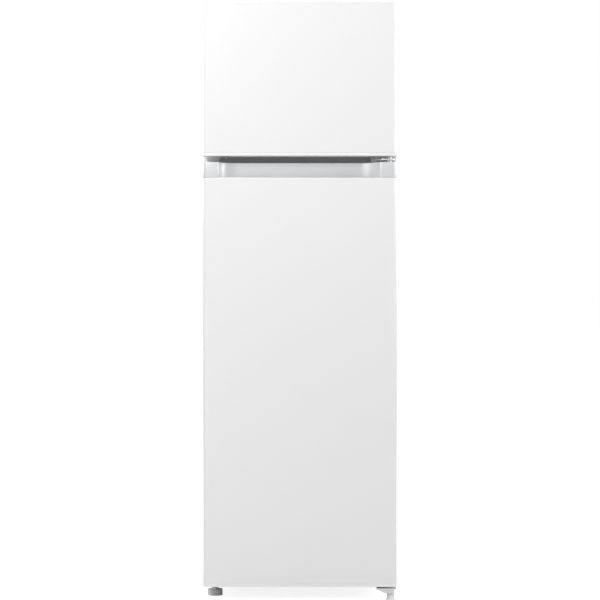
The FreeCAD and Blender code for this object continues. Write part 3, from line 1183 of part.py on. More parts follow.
def handle_trim():
    """The silver grip moulding across the top of the lower door."""
    top = LOWER_DOOR_TOP_Z
    inset = SKIN_T + SKIN_CLEAR
    band = door_block(HANDLE_BOTTOM_Z, top)
    hollow = door_block(HANDLE_BOTTOM_Z - 1, top - CAP_WALL, CAP_WALL, DOOR_BACK_Y - DOOR_LINER_T - CAP_WALL)
    liner_room = box(-LINER_HALF_W - 0.2, LINER_HALF_W + 0.2, DOOR_BACK_Y - DOOR_LINER_T, DOOR_BACK_Y + 1,
                     HANDLE_BOTTOM_Z - 1, top - CAP_WALL)
    skirt_out = door_block(HANDLE_BOTTOM_Z - 12, HANDLE_BOTTOM_Z + 1, inset, DOOR_BACK_Y - DOOR_LINER_T - 0.2)
    skirt_in = door_block(HANDLE_BOTTOM_Z - 13, HANDLE_BOTTOM_Z + 2, inset + CAP_WALL,
                          DOOR_BACK_Y - DOOR_LINER_T - 0.2 - CAP_WALL)
    pocket_low = HANDLE_BOTTOM_Z - POCKET_TRENCH - CAP_WALL
    pocket_wall = pocket_prism(CAP_WALL, pocket_low, top)
    inside_skin = door_block(pocket_low, HANDLE_BOTTOM_Z, inset, DOOR_BACK_Y)
    wall_low = pocket_wall.common(inside_skin)
    wall_high = pocket_wall.common(door_block(HANDLE_BOTTOM_Z, top))
    boss = hinge_boss(top - PIN_REACH - 6, top)
    body = joined(band.cut(hollow), skirt_out.cut(skirt_in), wall_low, wall_high, boss)
    return body.cut(pocket_space()).cut(pin_hole(top, 1)).cut(liner_room)


def handle_trim_envelope():
    """The room the grip moulding takes from the foam, its hollows left open."""
    top = LOWER_DOOR_TOP_Z
    pocket_low = HANDLE_BOTTOM_Z - POCKET_TRENCH - CAP_WALL
    return [handle_trim(), pocket_prism(CAP_WALL, pocket_low, top + 1), hinge_boss(top - PIN_REACH - 6, top)]


def dyke_ring(half_w, z0, z1, shrink, depth):
    """The liner's raised ring; shrink draws both walls in to make the foam's core."""
    root_y = DOOR_BACK_Y - DOOR_LINER_T
    outer = rounded_box(-half_w + shrink, half_w - shrink, root_y, DOOR_BACK_Y + depth,
                        z0 + shrink, z1 - shrink, 16.0 - shrink, (0, 1, 0))
    inner = rounded_box(-half_w + DYKE_W - shrink, half_w - DYKE_W + shrink, root_y - 1,
                        DOOR_BACK_Y + depth + 1, z0 + DYKE_W - shrink, z1 - DYKE_W + shrink,
                        6.0 + shrink * 0.5, (0, 1, 0))
    return outer.cut(inner)


BOSS_OUT = 4.0
FREEZER_DYKE = (FREEZER_HALF_W - 16.0, FREEZER_FLOOR_Z + 8.0, FREEZER_CEILING_Z - 8.0)
FRIDGE_DYKE = (FRIDGE_HALF_W - 17.0, FRIDGE_FLOOR_Z + 8.0, FRIDGE_CEILING_Z - 8.0)


LINER_HALF_W = HALF_W - 8.2


def door_liner(z0, z1, dyke, bin_levels):
    """The moulded inner face of a door: a flat flange, the raised ring and the bosses its bins hang on."""
    half_w, ring_z0, ring_z1 = dyke
    plate = box(-LINER_HALF_W, LINER_HALF_W, DOOR_BACK_Y - DOOR_LINER_T, DOOR_BACK_Y, z0, z1)
    hollow = dyke_ring(half_w, ring_z0, ring_z1, DOOR_LINER_T, DYKE_D - DOOR_LINER_T)
    raised = dyke_ring(half_w, ring_z0, ring_z1, 0.0, DYKE_D)
    bosses = []
    wall_x = half_w - DYKE_W
    for level in bin_levels:
        for side in (-1, 1):
            x0, x1 = sorted((side * (wall_x + 0.5), side * (wall_x - BOSS_OUT)))
            bosses.append(box(x0, x1, DOOR_BACK_Y + 14, DOOR_BACK_Y + 46, level - 8, level))
    return joined(plate, raised, *bosses).cut(hollow)


def door_foam(z0, z1, dyke, taken):
    """The foam core of a door, with the solids in taken cut away."""
    half_w, ring_z0, ring_z1 = dyke
    core = door_block(z0, z1, SKIN_T, DOOR_BACK_Y - DOOR_LINER_T)
    core = joined(core, dyke_ring(half_w, ring_z0, ring_z1, DOOR_LINER_T, DYKE_D - DOOR_LINER_T))
    for solid in taken:
        core = core.cut(solid)
    return core


def door_gasket(z0, z1):
    """The magnetic seal: a frame with a bellows waist and a flat magnet face."""
    y0, y1 = DOOR_BACK_Y, CABINET_FRONT_Y - GASKET_CLEAR

    def frame(outer_in, inner_in, ya, yb):
        outer = rounded_box(-GASKET_HALF_W + outer_in, GASKET_HALF_W - outer_in, ya, yb, z0 + outer_in,
                            z1 - outer_in, 6.0, (0, 1, 0))
        inner = box(-GASKET_HALF_W + GASKET_W - inner_in, GASKET_HALF_W - GASKET_W + inner_in, ya - 1, yb + 1,
                    z0 + GASKET_W - inner_in, z1 - GASKET_W + inner_in)
        return outer.cut(inner)

    base = frame(3.0, 3.0, y0, y0 + 3)
    waist = frame(5.5, 5.5, y0 + 2.5, y1 - 4.5)
    magnet = frame(0.0, 0.0, y1 - 5, y1)
    return joined(base, waist, magnet)


FREEZER_GASKET = (FREEZER_DOOR_BOTTOM_Z + 10.0, CABINET_TOP_Z - 8.0)
FRIDGE_GASKET = (DOOR_BOTTOM_Z + 32.0, LOWER_DOOR_TOP_Z - 10.0)

BIN_WALL = 2.0
BIN_BACK_Y = DOOR_BACK_Y + 4.0
BIN_FRONT_Y = DOOR_BACK_Y + 102.0


def door_bin(half_w, z0, height, front_h, depth_y=BIN_FRONT_Y):
    """A door bin: floor, low back, sides that step down to the front wall, and side flanges over the bosses."""
    inner_half = half_w - BOSS_OUT - 1.4
    outline = [(BIN_BACK_Y, z0), (depth_y - 6, z0), (depth_y, z0 + 10), (depth_y, z0 + front_h),
               (DOOR_BACK_Y + DYKE_D + 4, z0 + front_h), (DOOR_BACK_Y + DYKE_D - 8, z0 + height),
               (BIN_BACK_Y, z0 + height)]
    outer = prism_yz(outline, -inner_half, inner_half)
    outer = rounded(outer, 9.0, (0, 0, 1), lambda p: p.y > depth_y - 1)
    room = rounded_box(-inner_half + BIN_WALL, inner_half - BIN_WALL, BIN_BACK_Y + BIN_WALL, depth_y - BIN_WALL,
                       z0 + BIN_WALL, z0 + height + 1, 7.0, (0, 0, 1), lambda p: p.y > depth_y - BIN_WALL - 1)
    flanges = []
    for side in (-1, 1):
        x0, x1 = sorted((side * (inner_half - 0.5), side * (half_w - 0.6)))
        flanges.append(box(x0, x1, DOOR_BACK_Y + 10, DOOR_BACK_Y + 50, z0 + height - 3, z0 + height))
    return joined(outer.cut(room), *flanges)


FREEZER_BIN_H = 62.0
FREEZER_BIN_LEVELS = (FREEZER_FLOOR_Z + 42.0, FREEZER_FLOOR_Z + 192.0)
FRIDGE_BIN_H = 70.0
BOTTLE_BIN_Z = DOOR_BOTTOM_Z + 112.0
BOTTLE_BIN_H = 120.0
DAIRY_BIN_Z = FRIDGE_CEILING_Z - 212.25
FREE_DOOR_H = DAIRY_BIN_Z - BOTTLE_BIN_Z - BOTTLE_BIN_H
FRIDGE_BIN_LEVELS = (DAIRY_BIN_Z - FREE_DOOR_H * 42 / 71, DAIRY_BIN_Z - FREE_DOOR_H * 18 / 71)
DAIRY_BIN_H = 46.0
FREEZER_BIN_HALF = FREEZER_DYKE[0] - DYKE_W
FRIDGE_BIN_HALF = FRIDGE_DYKE[0] - DYKE_W


def boss_level(z0, height):
    """Top of the bosses that hold a bin by its side flanges."""
    return z0 + height - 3.0


def freezer_door_bins():
    """Two equal bins on the freezer door."""
    return group([door_bin(FREEZER_BIN_HALF, z, FREEZER_BIN_H, FREEZER_BIN_H - 14) for z in FREEZER_BIN_LEVELS])


def fridge_door_bins():
    """Two equal bins in the middle of the lower door."""
    return group([door_bin(FRIDGE_BIN_HALF, z, FRIDGE_BIN_H, FRIDGE_BIN_H - 16) for z in FRIDGE_BIN_LEVELS])


def bottle_bin():
    """The deep bottle bin at the bottom of the lower door."""
    return door_bin(FRIDGE_BIN_HALF, BOTTLE_BIN_Z, BOTTLE_BIN_H, BOTTLE_BIN_H - 34)


FLAP_PIN_R = 2.5
FLAP_HINGE_Y = BIN_BACK_Y + 8.0
FLAP_HINGE_Z = DAIRY_BIN_Z + 96.0
FLAP_HALF = FRIDGE_BIN_HALF - BOSS_OUT - 1.4 - 4.0


def dairy_bin():
    """The dairy bin: a shallow bin whose side walls rise to carry the flap's pivots."""
    low = door_bin(FRIDGE_BIN_HALF, DAIRY_BIN_Z, DAIRY_BIN_H, DAIRY_BIN_H - 10)
    inner_half = FRIDGE_BIN_HALF - BOSS_OUT - 1.4
    ears = []
    for side in (-1, 1):
        x0, x1 = sorted((side * inner_half, side * (inner_half - BIN_WALL)))
        ears.append(prism_yz([(BIN_BACK_Y, DAIRY_BIN_Z + 20), (BIN_BACK_Y + 50, DAIRY_BIN_Z + 20),
                              (FLAP_HINGE_Y + 10, FLAP_HINGE_Z + 8), (BIN_BACK_Y, FLAP_HINGE_Z + 8)], x0, x1))
        pin_x0, pin_x1 = sorted((side * (inner_half - 1), side * (inner_half - 10)))
        ears.append(cylinder(FLAP_PIN_R, (pin_x0, FLAP_HINGE_Y, FLAP_HINGE_Z), pin_x1 - pin_x0, (1, 0, 0)))
    return joined(low, *ears)


def dairy_flap():
    """The clear flap that closes the dairy bin: a roof and a front that swing up about the side pins."""
    front_y = BIN_FRONT_Y - 12
    low_z = DAIRY_BIN_Z + DAIRY_BIN_H - 9
    t = 2.5
    roof = box(-FLAP_HALF, FLAP_HALF, FLAP_HINGE_Y - 3, front_y, FLAP_HINGE_Z - 2, FLAP_HINGE_Z - 2 + t)
    face = box(-FLAP_HALF, FLAP_HALF, front_y - t, front_y, low_z, FLAP_HINGE_Z + 0.5)
    shell = joined(roof, face)
    shell = rounded(shell, 2.0, (1, 0, 0), lambda p: p.y > front_y - 1 and p.z > FLAP_HINGE_Z)
    sides = []
    for side in (-1, 1):
        x0, x1 = sorted((side * FLAP_HALF, side * (FLAP_HALF - 2.5)))
        sides.append(prism_yz([(FLAP_HINGE_Y - 3, FLAP_HINGE_Z - 5), (front_y, FLAP_HINGE_Z - 40),
                               (front_y, FLAP_HINGE_Z), (FLAP_HINGE_Y - 3, FLAP_HINGE_Z)], x0, x1))
        e0, e1 = sorted((side * FLAP_HALF, side * (FLAP_HALF - 4.0)))
        sides.append(cylinder(6.0, (e0, FLAP_HINGE_Y, FLAP_HINGE_Z), e1 - e0, (1, 0, 0)))
    handle = box(-30, 30, front_y - 0.5, front_y + 7, low_z + 2, low_z + 5)
    flap = joined(shell, *sides, handle)
    bore = cylinder(FLAP_PIN_R + PIN_CLEAR, (-FLAP_HALF - 5, FLAP_HINGE_Y, FLAP_HINGE_Z), 2 * FLAP_HALF + 10,
                    (1, 0, 0))
    return flap.cut(bore)


# ---- the finished nodes --------------------------------------------------------------------------------
def freezer_skin():
    """The freezer door's painted pan."""
    return door_skin(FREEZER_DOOR_BOTTOM_Z + CAP_BAND, DOOR_TOP_Z - CAP_BAND).cut(hinge_recess())


def fridge_skin():
    """The lower door's painted pan."""
    return door_skin(DOOR_BOTTOM_Z + CAP_BAND, HANDLE_BOTTOM_Z)


def freezer_inner_liner():
    """The freezer door's liner."""
    levels = [boss_level(z, FREEZER_BIN_H) for z in FREEZER_BIN_LEVELS]
    return door_liner(FREEZER_DOOR_BOTTOM_Z + CAP_BAND, DOOR_TOP_Z - CAP_BAND, FREEZER_DYKE, levels).cut(hinge_recess())


def fridge_inner_liner():
    """The lower door's liner."""
    levels = [boss_level(z, FRIDGE_BIN_H) for z in FRIDGE_BIN_LEVELS]
    levels += [boss_level(BOTTLE_BIN_Z, BOTTLE_BIN_H), boss_level(DAIRY_BIN_Z, DAIRY_BIN_H)]
    return door_liner(DOOR_BOTTOM_Z + CAP_BAND, LOWER_DOOR_TOP_Z - CAP_WALL, FRIDGE_DYKE, levels)


def freezer_door_foam():
    """The freezer door's foam core."""
    taken = [cap_envelope(DOOR_TOP_Z, 1), hinge_boss(RECESS_FLOOR_Z - PIN_REACH - 4, DOOR_TOP_Z),
             box(RECESS_X - CAP_WALL, HALF_W, DOOR_FRONT_Y, DOOR_BACK_Y + 1, RECESS_FLOOR_Z - CAP_WALL, DOOR_TOP_Z),
             cap_envelope(FREEZER_DOOR_BOTTOM_Z, -1), grip_groove_wall()]
    return door_foam(FREEZER_DOOR_BOTTOM_Z + CAP_BAND, DOOR_TOP_Z - CAP_BAND, FREEZER_DYKE, taken)


def fridge_door_foam():
    """The lower door's foam core."""
    taken = [cap_envelope(DOOR_BOTTOM_Z, -1)] + handle_trim_envelope()
    return door_foam(DOOR_BOTTOM_Z + CAP_BAND, LOWER_DOOR_TOP_Z - CAP_WALL, FRIDGE_DYKE, taken)


def nodes():
    """Every sub-part by its node name."""
    made = {
        "cabinet_shell": lambda: drilled(cabinet_shell()),
        "insulation_foam": lambda: drilled(insulation_foam().cut(left_foot_room())),
        "freezer_liner": freezer_liner,
        "fridge_liner": fridge_liner,
        "mullion_rail": lambda: drilled(mullion_rail()),
        "bottom_panel": lambda: drilled(bottom_panel().cut(left_foot_room())),
        "bay_bulkhead": bay_bulkhead,
        "back_panel": back_panel,
        "compressor_base": compressor_base,
        "compressor": compressor,
        "compressor_grommets": compressor_grommets,
        "starter_box": starter_box,
        "condenser_tube": condenser_tube,
        "condenser_wires": condenser_wires,
        "condenser_brackets": condenser_brackets,
        "filter_drier": filter_drier,
        "refrigerant_lines": refrigerant_lines,
        "evaporating_tray": evaporating_tray,
        "drain_tube": drain_tube,
        "evaporators": evaporators,
        "roller_brackets": roller_brackets,
        "top_hinge": lambda: drilled(top_hinge()),
        "top_hinge_cover": top_hinge_cover,
        "mid_hinge": lambda: drilled(mid_hinge()),
        "bottom_hinge": lambda: drilled(bottom_hinge()),
        "cabinet_screws": cabinet_screws,
        "hinge_hole_plugs": hinge_hole_plugs,
        "control_housing": control_housing,
        "lamp_lens": lamp_lens,
        "lamp_and_thermostat": lamp_and_thermostat,
        "freezer_shelf": freezer_shelf,
        "shelf_trims": shelf_trims,
        "freezer_door_skin": freezer_skin,
        "freezer_door_top_cap": freezer_door_top_cap,
        "freezer_door_bottom_cap": freezer_door_bottom_cap,
        "freezer_door_foam": freezer_door_foam,
        "freezer_door_liner": freezer_inner_liner,
        "freezer_door_gasket": lambda: door_gasket(*FREEZER_GASKET),
        "freezer_door_bins": freezer_door_bins,
        "fridge_door_skin": fridge_skin,
        "handle_trim": handle_trim,
        "fridge_door_bottom_cap": fridge_door_bottom_cap,
        "fridge_door_foam": fridge_door_foam,
        "fridge_door_liner": fridge_inner_liner,
        "fridge_door_gasket": lambda: door_gasket(*FRIDGE_GASKET),
        "dairy_bin": dairy_bin,
        "fridge_door_bins": fridge_door_bins,
        "bottle_bin": bottle_bin,
        "crisper_drawer": crisper_drawer,
        "thermostat_knob": thermostat_knob,
        "light_switch_plunger": light_switch_plunger,
        "dairy_flap": dairy_flap,
        "left_foot": left_foot,
        "right_foot": right_foot,
        "left_roller": lambda: roller(-1),
        "right_roller": lambda: roller(1),
    }
    for name, z in shelf_heights().items():
        made[name] = lambda z=z: glass_plate(z)
    return made


def main():
    """Writes each node to its own STEP file."""
    os.makedirs(PARTS_DIR, exist_ok=True)
    for name, make in nodes().items():
        shape = make()
        solids = shape.Solids
        if not solids or not all(s.isValid() and s.Volume > 0 for s in solids):
            print("check", name, len(solids), [s.isValid() for s in solids])
        shape = solids[0] if len(solids) == 1 else Part.makeCompound(solids)
        shape.exportStep(os.path.join(PARTS_DIR, name + ".step"))
        print(name, len(solids), round(sum(s.Volume for s in solids) / 1000.0, 1), "cm3")


main()
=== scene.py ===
"""Finish and fine detail for a slim two-door refrigerator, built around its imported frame.

Metres throughout, in the frame's own axes: +Z up, doors facing -Y, +X to the right of a person facing them.
Each sub-assembly is a class that holds its sizes, builds its meshes and dresses them in their finishes.
"""

from __future__ import annotations

import json
import logging
import math
from contextlib import contextmanager
from dataclasses import dataclass
from enum import Enum
from typing import Iterable, Iterator, Sequence

import bmesh
import bpy
from mathutils import Matrix, Vector

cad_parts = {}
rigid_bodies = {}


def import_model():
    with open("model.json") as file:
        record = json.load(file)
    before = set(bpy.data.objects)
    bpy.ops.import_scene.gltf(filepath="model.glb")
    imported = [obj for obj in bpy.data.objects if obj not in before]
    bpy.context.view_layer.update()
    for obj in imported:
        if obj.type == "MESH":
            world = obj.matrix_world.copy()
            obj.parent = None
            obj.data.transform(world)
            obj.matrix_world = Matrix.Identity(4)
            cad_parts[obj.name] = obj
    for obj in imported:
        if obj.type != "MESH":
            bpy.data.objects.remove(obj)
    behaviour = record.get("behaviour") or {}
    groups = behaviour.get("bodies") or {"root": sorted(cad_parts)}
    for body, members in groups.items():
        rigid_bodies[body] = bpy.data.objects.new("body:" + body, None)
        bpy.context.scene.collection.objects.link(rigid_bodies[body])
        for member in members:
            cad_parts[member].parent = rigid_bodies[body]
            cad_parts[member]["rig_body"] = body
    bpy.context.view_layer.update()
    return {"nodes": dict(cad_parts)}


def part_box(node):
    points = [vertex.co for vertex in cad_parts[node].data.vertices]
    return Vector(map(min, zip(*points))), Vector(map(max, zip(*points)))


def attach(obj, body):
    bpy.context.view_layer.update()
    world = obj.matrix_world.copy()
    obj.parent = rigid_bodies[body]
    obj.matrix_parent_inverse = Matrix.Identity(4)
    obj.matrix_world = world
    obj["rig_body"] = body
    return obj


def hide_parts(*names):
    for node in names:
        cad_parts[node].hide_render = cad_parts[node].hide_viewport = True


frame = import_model()
LOG = logging.getLogger("refrigerator")

Point2 = tuple[float, float]
Point3 = tuple[float, float, float]
Colour = tuple[float, float, float]
Tree = bpy.types.NodeTree
Node = bpy.types.Node
Socket = bpy.types.NodeSocket


# ---- effects that several finishes share ---------------------------------------------------------------
class Effect(Enum):
    """The shader node groups, by the name each carries."""

    GRAIN = "fine_grain"
    WAVE = "sheet_wave"
    TONE = "tone_drift"
    DUST = "settled_dust"
    SMUDGE = "wiped_gloss"
    BRUSH = "drawn_streaks"
    SPANGLE = "zinc_spangle"


class EffectLibrary:
    """Builds each shared shader group once and places it in materials."""

    def __init__(self) -> None:
        self.trees: dict[Effect, bpy.types.NodeTree] = {}

    def _open(self, effect: Effect, inputs: dict[str, tuple[str, object]],
              outputs: dict[str, str]) -> tuple[Tree, Node, Node]:
        """Starts a group with typed sockets.

        Args:
            effect: the group's name.
            inputs: socket name to (socket type, default value).
            outputs: socket name to socket type.

        Returns:
            The tree, its input node and its output node.
        """
        tree = bpy.data.node_groups.new(effect.value, "ShaderNodeTree")
        for name, (kind, default) in inputs.items():
            socket = tree.interface.new_socket(name, in_out="INPUT", socket_type=kind)
            socket.default_value = default
        for name, kind in outputs.items():
            tree.interface.new_socket(name, in_out="OUTPUT", socket_type=kind)
        self.trees[effect] = tree
        return tree, tree.nodes.new("NodeGroupInput"), tree.nodes.new("NodeGroupOutput")

    @staticmethod
    def _coords(tree: Tree) -> Socket:
        """Object coordinates inside a group."""
        return tree.nodes.new("ShaderNodeTexCoord").outputs["Object"]

    def _noise(self, tree: Tree, scale: Socket | float, detail: float, roughness: float,
               vector: Socket | None = None) -> Node:
        """A noise texture on object coordinates.

        Args:
            tree: the tree to add to.
            scale: an output socket that drives the scale, or a number.
            detail: octaves.
            roughness: octave falloff.
            vector: an output socket for the coordinates, object coordinates when left out.

        Returns:
            The noise node.
        """
        noise = tree.nodes.new("ShaderNodeTexNoise")
        noise.inputs["Detail"].default_value = detail
        noise.inputs["Roughness"].default_value = roughness
        tree.links.new(vector or self._coords(tree), noise.inputs["Vector"])
        if isinstance(scale, (int, float)):
            noise.inputs["Scale"].default_value = scale
        else:
            tree.links.new(scale, noise.inputs["Scale"])
        return noise

    @staticmethod
    def _ramp(tree: Tree, source: Socket, low: float, high: float) -> Socket:
        """A clamped map to 0..1.

        Args:
            tree: the tree to add to.
            source: the value to map.
            low: what becomes 0.
            high: what becomes 1.

        Returns:
            The mapped value.
        """
        ramp = tree.nodes.new("ShaderNodeMapRange")
        ramp.inputs["From Min"].default_value = low
        ramp.inputs["From Max"].default_value = high
        tree.links.new(source, ramp.inputs["Value"])
        return ramp.outputs["Result"]

    @staticmethod
    def _math(tree: Tree, operation: str, first: Socket | float, second: Socket | float) -> Socket:
        """A two-input sum.

        Args:
            tree: the tree to add to.
            operation: the math node's operation.
            first: a socket or a number.
            second: a socket or a number.

        Returns:
            The result.
        """
        node = tree.nodes.new("ShaderNodeMath")
        node.operation = operation
        for index, value in enumerate((first, second)):
            if isinstance(value, (int, float)):
                node.inputs[index].default_value = value
            else:
                tree.links.new(value, node.inputs[index])
        return node.outputs[0]

    @staticmethod
    def _mix(tree: Tree, factor: Socket, first: Socket, second: Socket) -> Socket:
        """A colour mix.

        Args:
            tree: the tree to add to.
            factor: 0 for the first colour, 1 for the second.
            first: a colour.
            second: a colour.

        Returns:
            The mixed colour.
        """
        node = tree.nodes.new("ShaderNodeMix")
        node.data_type = "RGBA"
        tree.links.new(factor, node.inputs["Factor"])
        for name, value in (("A", first), ("B", second)):
            tree.links.new(value, [s for s in node.inputs if s.name == name and s.type == "RGBA"][0])
        return [s for s in node.outputs if s.type == "RGBA"][0]

    def build(self) -> None:
        """Builds every group."""
        for build_group in (self._grain, self._wave, self._tone, self._dust, self._smudge, self._brush,
                            self._spangle):
            build_group()

    def _grain(self) -> None:
        """Fine all-over relief: paint's orange peel or a moulding's texture."""
        tree, given, out = self._open(Effect.GRAIN, {"Scale": ("NodeSocketFloat", 900.0)},
                                      {"Height": "NodeSocketFloat"})
        noise = self._noise(tree, given.outputs["Scale"], 3.0, 0.55)
        tree.links.new(noise.outputs[0], out.inputs["Height"])

    def _wave(self) -> None:
        """The slow unevenness of a thin panel backed by foam."""
        tree, given, out = self._open(Effect.WAVE, {"Scale": ("NodeSocketFloat", 4.0)},
                                      {"Height": "NodeSocketFloat"})
        noise = self._noise(tree, given.outputs["Scale"], 1.0, 0.4)
        tree.links.new(noise.outputs[0], out.inputs["Height"])

    def _tone(self) -> None:
        """A slight drift of the base colour between two tones."""
        tree, given, out = self._open(
            Effect.TONE,
            {"Light": ("NodeSocketColor", (1, 1, 1, 1)), "Dark": ("NodeSocketColor", (0.8, 0.8, 0.8, 1)),
             "Scale": ("NodeSocketFloat", 6.0)},
            {"Color": "NodeSocketColor"})
        noise = self._noise(tree, given.outputs["Scale"], 4.0, 0.6)
        factor = self._ramp(tree, noise.outputs[0], 0.2, 0.85)
        drift = self._mix(tree, factor, given.outputs["Light"], given.outputs["Dark"])
        tree.links.new(drift, out.inputs["Color"])

    def _dust(self) -> None:
        """Dust that lies on upward faces, broken up by noise."""
        tree, given, out = self._open(
            Effect.DUST,
            {"Color": ("NodeSocketColor", (1, 1, 1, 1)), "Dust": ("NodeSocketColor", (0.55, 0.53, 0.5, 1)),
             "Amount": ("NodeSocketFloat", 0.3)},
            {"Color": "NodeSocketColor"})
        facing = tree.nodes.new("ShaderNodeNewGeometry").outputs["Normal"]
        split = tree.nodes.new("ShaderNodeSeparateXYZ")
        tree.links.new(facing, split.inputs[0])
        upward = self._ramp(tree, split.outputs["Z"], 0.1, 1.0)
        patch = self._ramp(tree, self._noise(tree, 22.0, 5.0, 0.65).outputs[0], 0.3, 0.75)
        speck = self._ramp(tree, self._noise(tree, 420.0, 3.0, 0.7).outputs[0], 0.4, 0.8)
        cover = self._math(tree, "MULTIPLY", upward, self._math(tree, "ADD", patch, speck))
        mask = self._math(tree, "MULTIPLY", cover, given.outputs["Amount"])
        dusty = self._mix(tree, mask, given.outputs["Color"], given.outputs["Dust"])
        tree.links.new(dusty, out.inputs["Color"])

    def _smudge(self) -> None:
        """Roughness that wanders between two values, as on a wiped surface."""
        tree, given, out = self._open(
            Effect.SMUDGE,
            {"Low": ("NodeSocketFloat", 0.2), "High": ("NodeSocketFloat", 0.35),
             "Scale": ("NodeSocketFloat", 9.0)},
            {"Roughness": "NodeSocketFloat"})
        noise = self._noise(tree, given.outputs["Scale"], 6.0, 0.62)
        share = self._ramp(tree, noise.outputs[0], 0.1, 0.9)
        spread = self._math(tree, "SUBTRACT", given.outputs["High"], given.outputs["Low"])
        value = self._math(tree, "ADD", given.outputs["Low"], self._math(tree, "MULTIPLY", share, spread))
        tree.links.new(value, out.inputs["Roughness"])

    def _brush(self) -> None:
        """Long fine streaks along X, the way a sheet or a drawn tube was worked."""
        tree, given, out = self._open(Effect.BRUSH, {"Scale": ("NodeSocketFloat", 260.0)},
                                      {"Height": "NodeSocketFloat"})
        stretch = tree.nodes.new("ShaderNodeMapping")
        stretch.inputs["Scale"].default_value = (0.03, 1.0, 1.0)
        tree.links.new(self._coords(tree), stretch.inputs["Vector"])
        noise = self._noise(tree, given.outputs["Scale"], 4.0, 0.7, stretch.outputs[0])
        tree.links.new(noise.outputs[0], out.inputs["Height"])

    def _spangle(self) -> None:
        """The crystal pattern of hot-dipped zinc, as flat cells of slightly different tone."""
        tree, given, out = self._open(
            Effect.SPANGLE,
            {"Color": ("NodeSocketColor", (0.7, 0.71, 0.72, 1)), "Scale": ("NodeSocketFloat", 90.0)},
            {"Color": "NodeSocketColor"})
        bend = self._noise(tree, 60.0, 2.0, 0.5)
        cells = tree.nodes.new("ShaderNodeTexVoronoi")
        shift = tree.nodes.new("ShaderNodeVectorMath")
        shift.operation = "MULTIPLY_ADD"
        shift.inputs[1].default_value = (0.006, 0.006, 0.006)
        tree.links.new(bend.outputs["Color"], shift.inputs[0])
        tree.links.new(self._coords(tree), shift.inputs[2])
        tree.links.new(shift.outputs[0], cells.inputs["Vector"])
        tree.links.new(given.outputs["Scale"], cells.inputs["Scale"])
        grey = tree.nodes.new("ShaderNodeRGBToBW")
        tree.links.new(cells.outputs["Color"], grey.inputs[0])
        darker = tree.nodes.new("ShaderNodeHueSaturation")
        darker.inputs["Value"].default_value = 0.72
        tree.links.new(given.outputs["Color"], darker.inputs["Color"])
        tree.links.new(self._mix(tree, grey.outputs[0], given.outputs["Color"], darker.outputs[0]),
                       out.inputs["Color"])


EFFECTS = EffectLibrary()


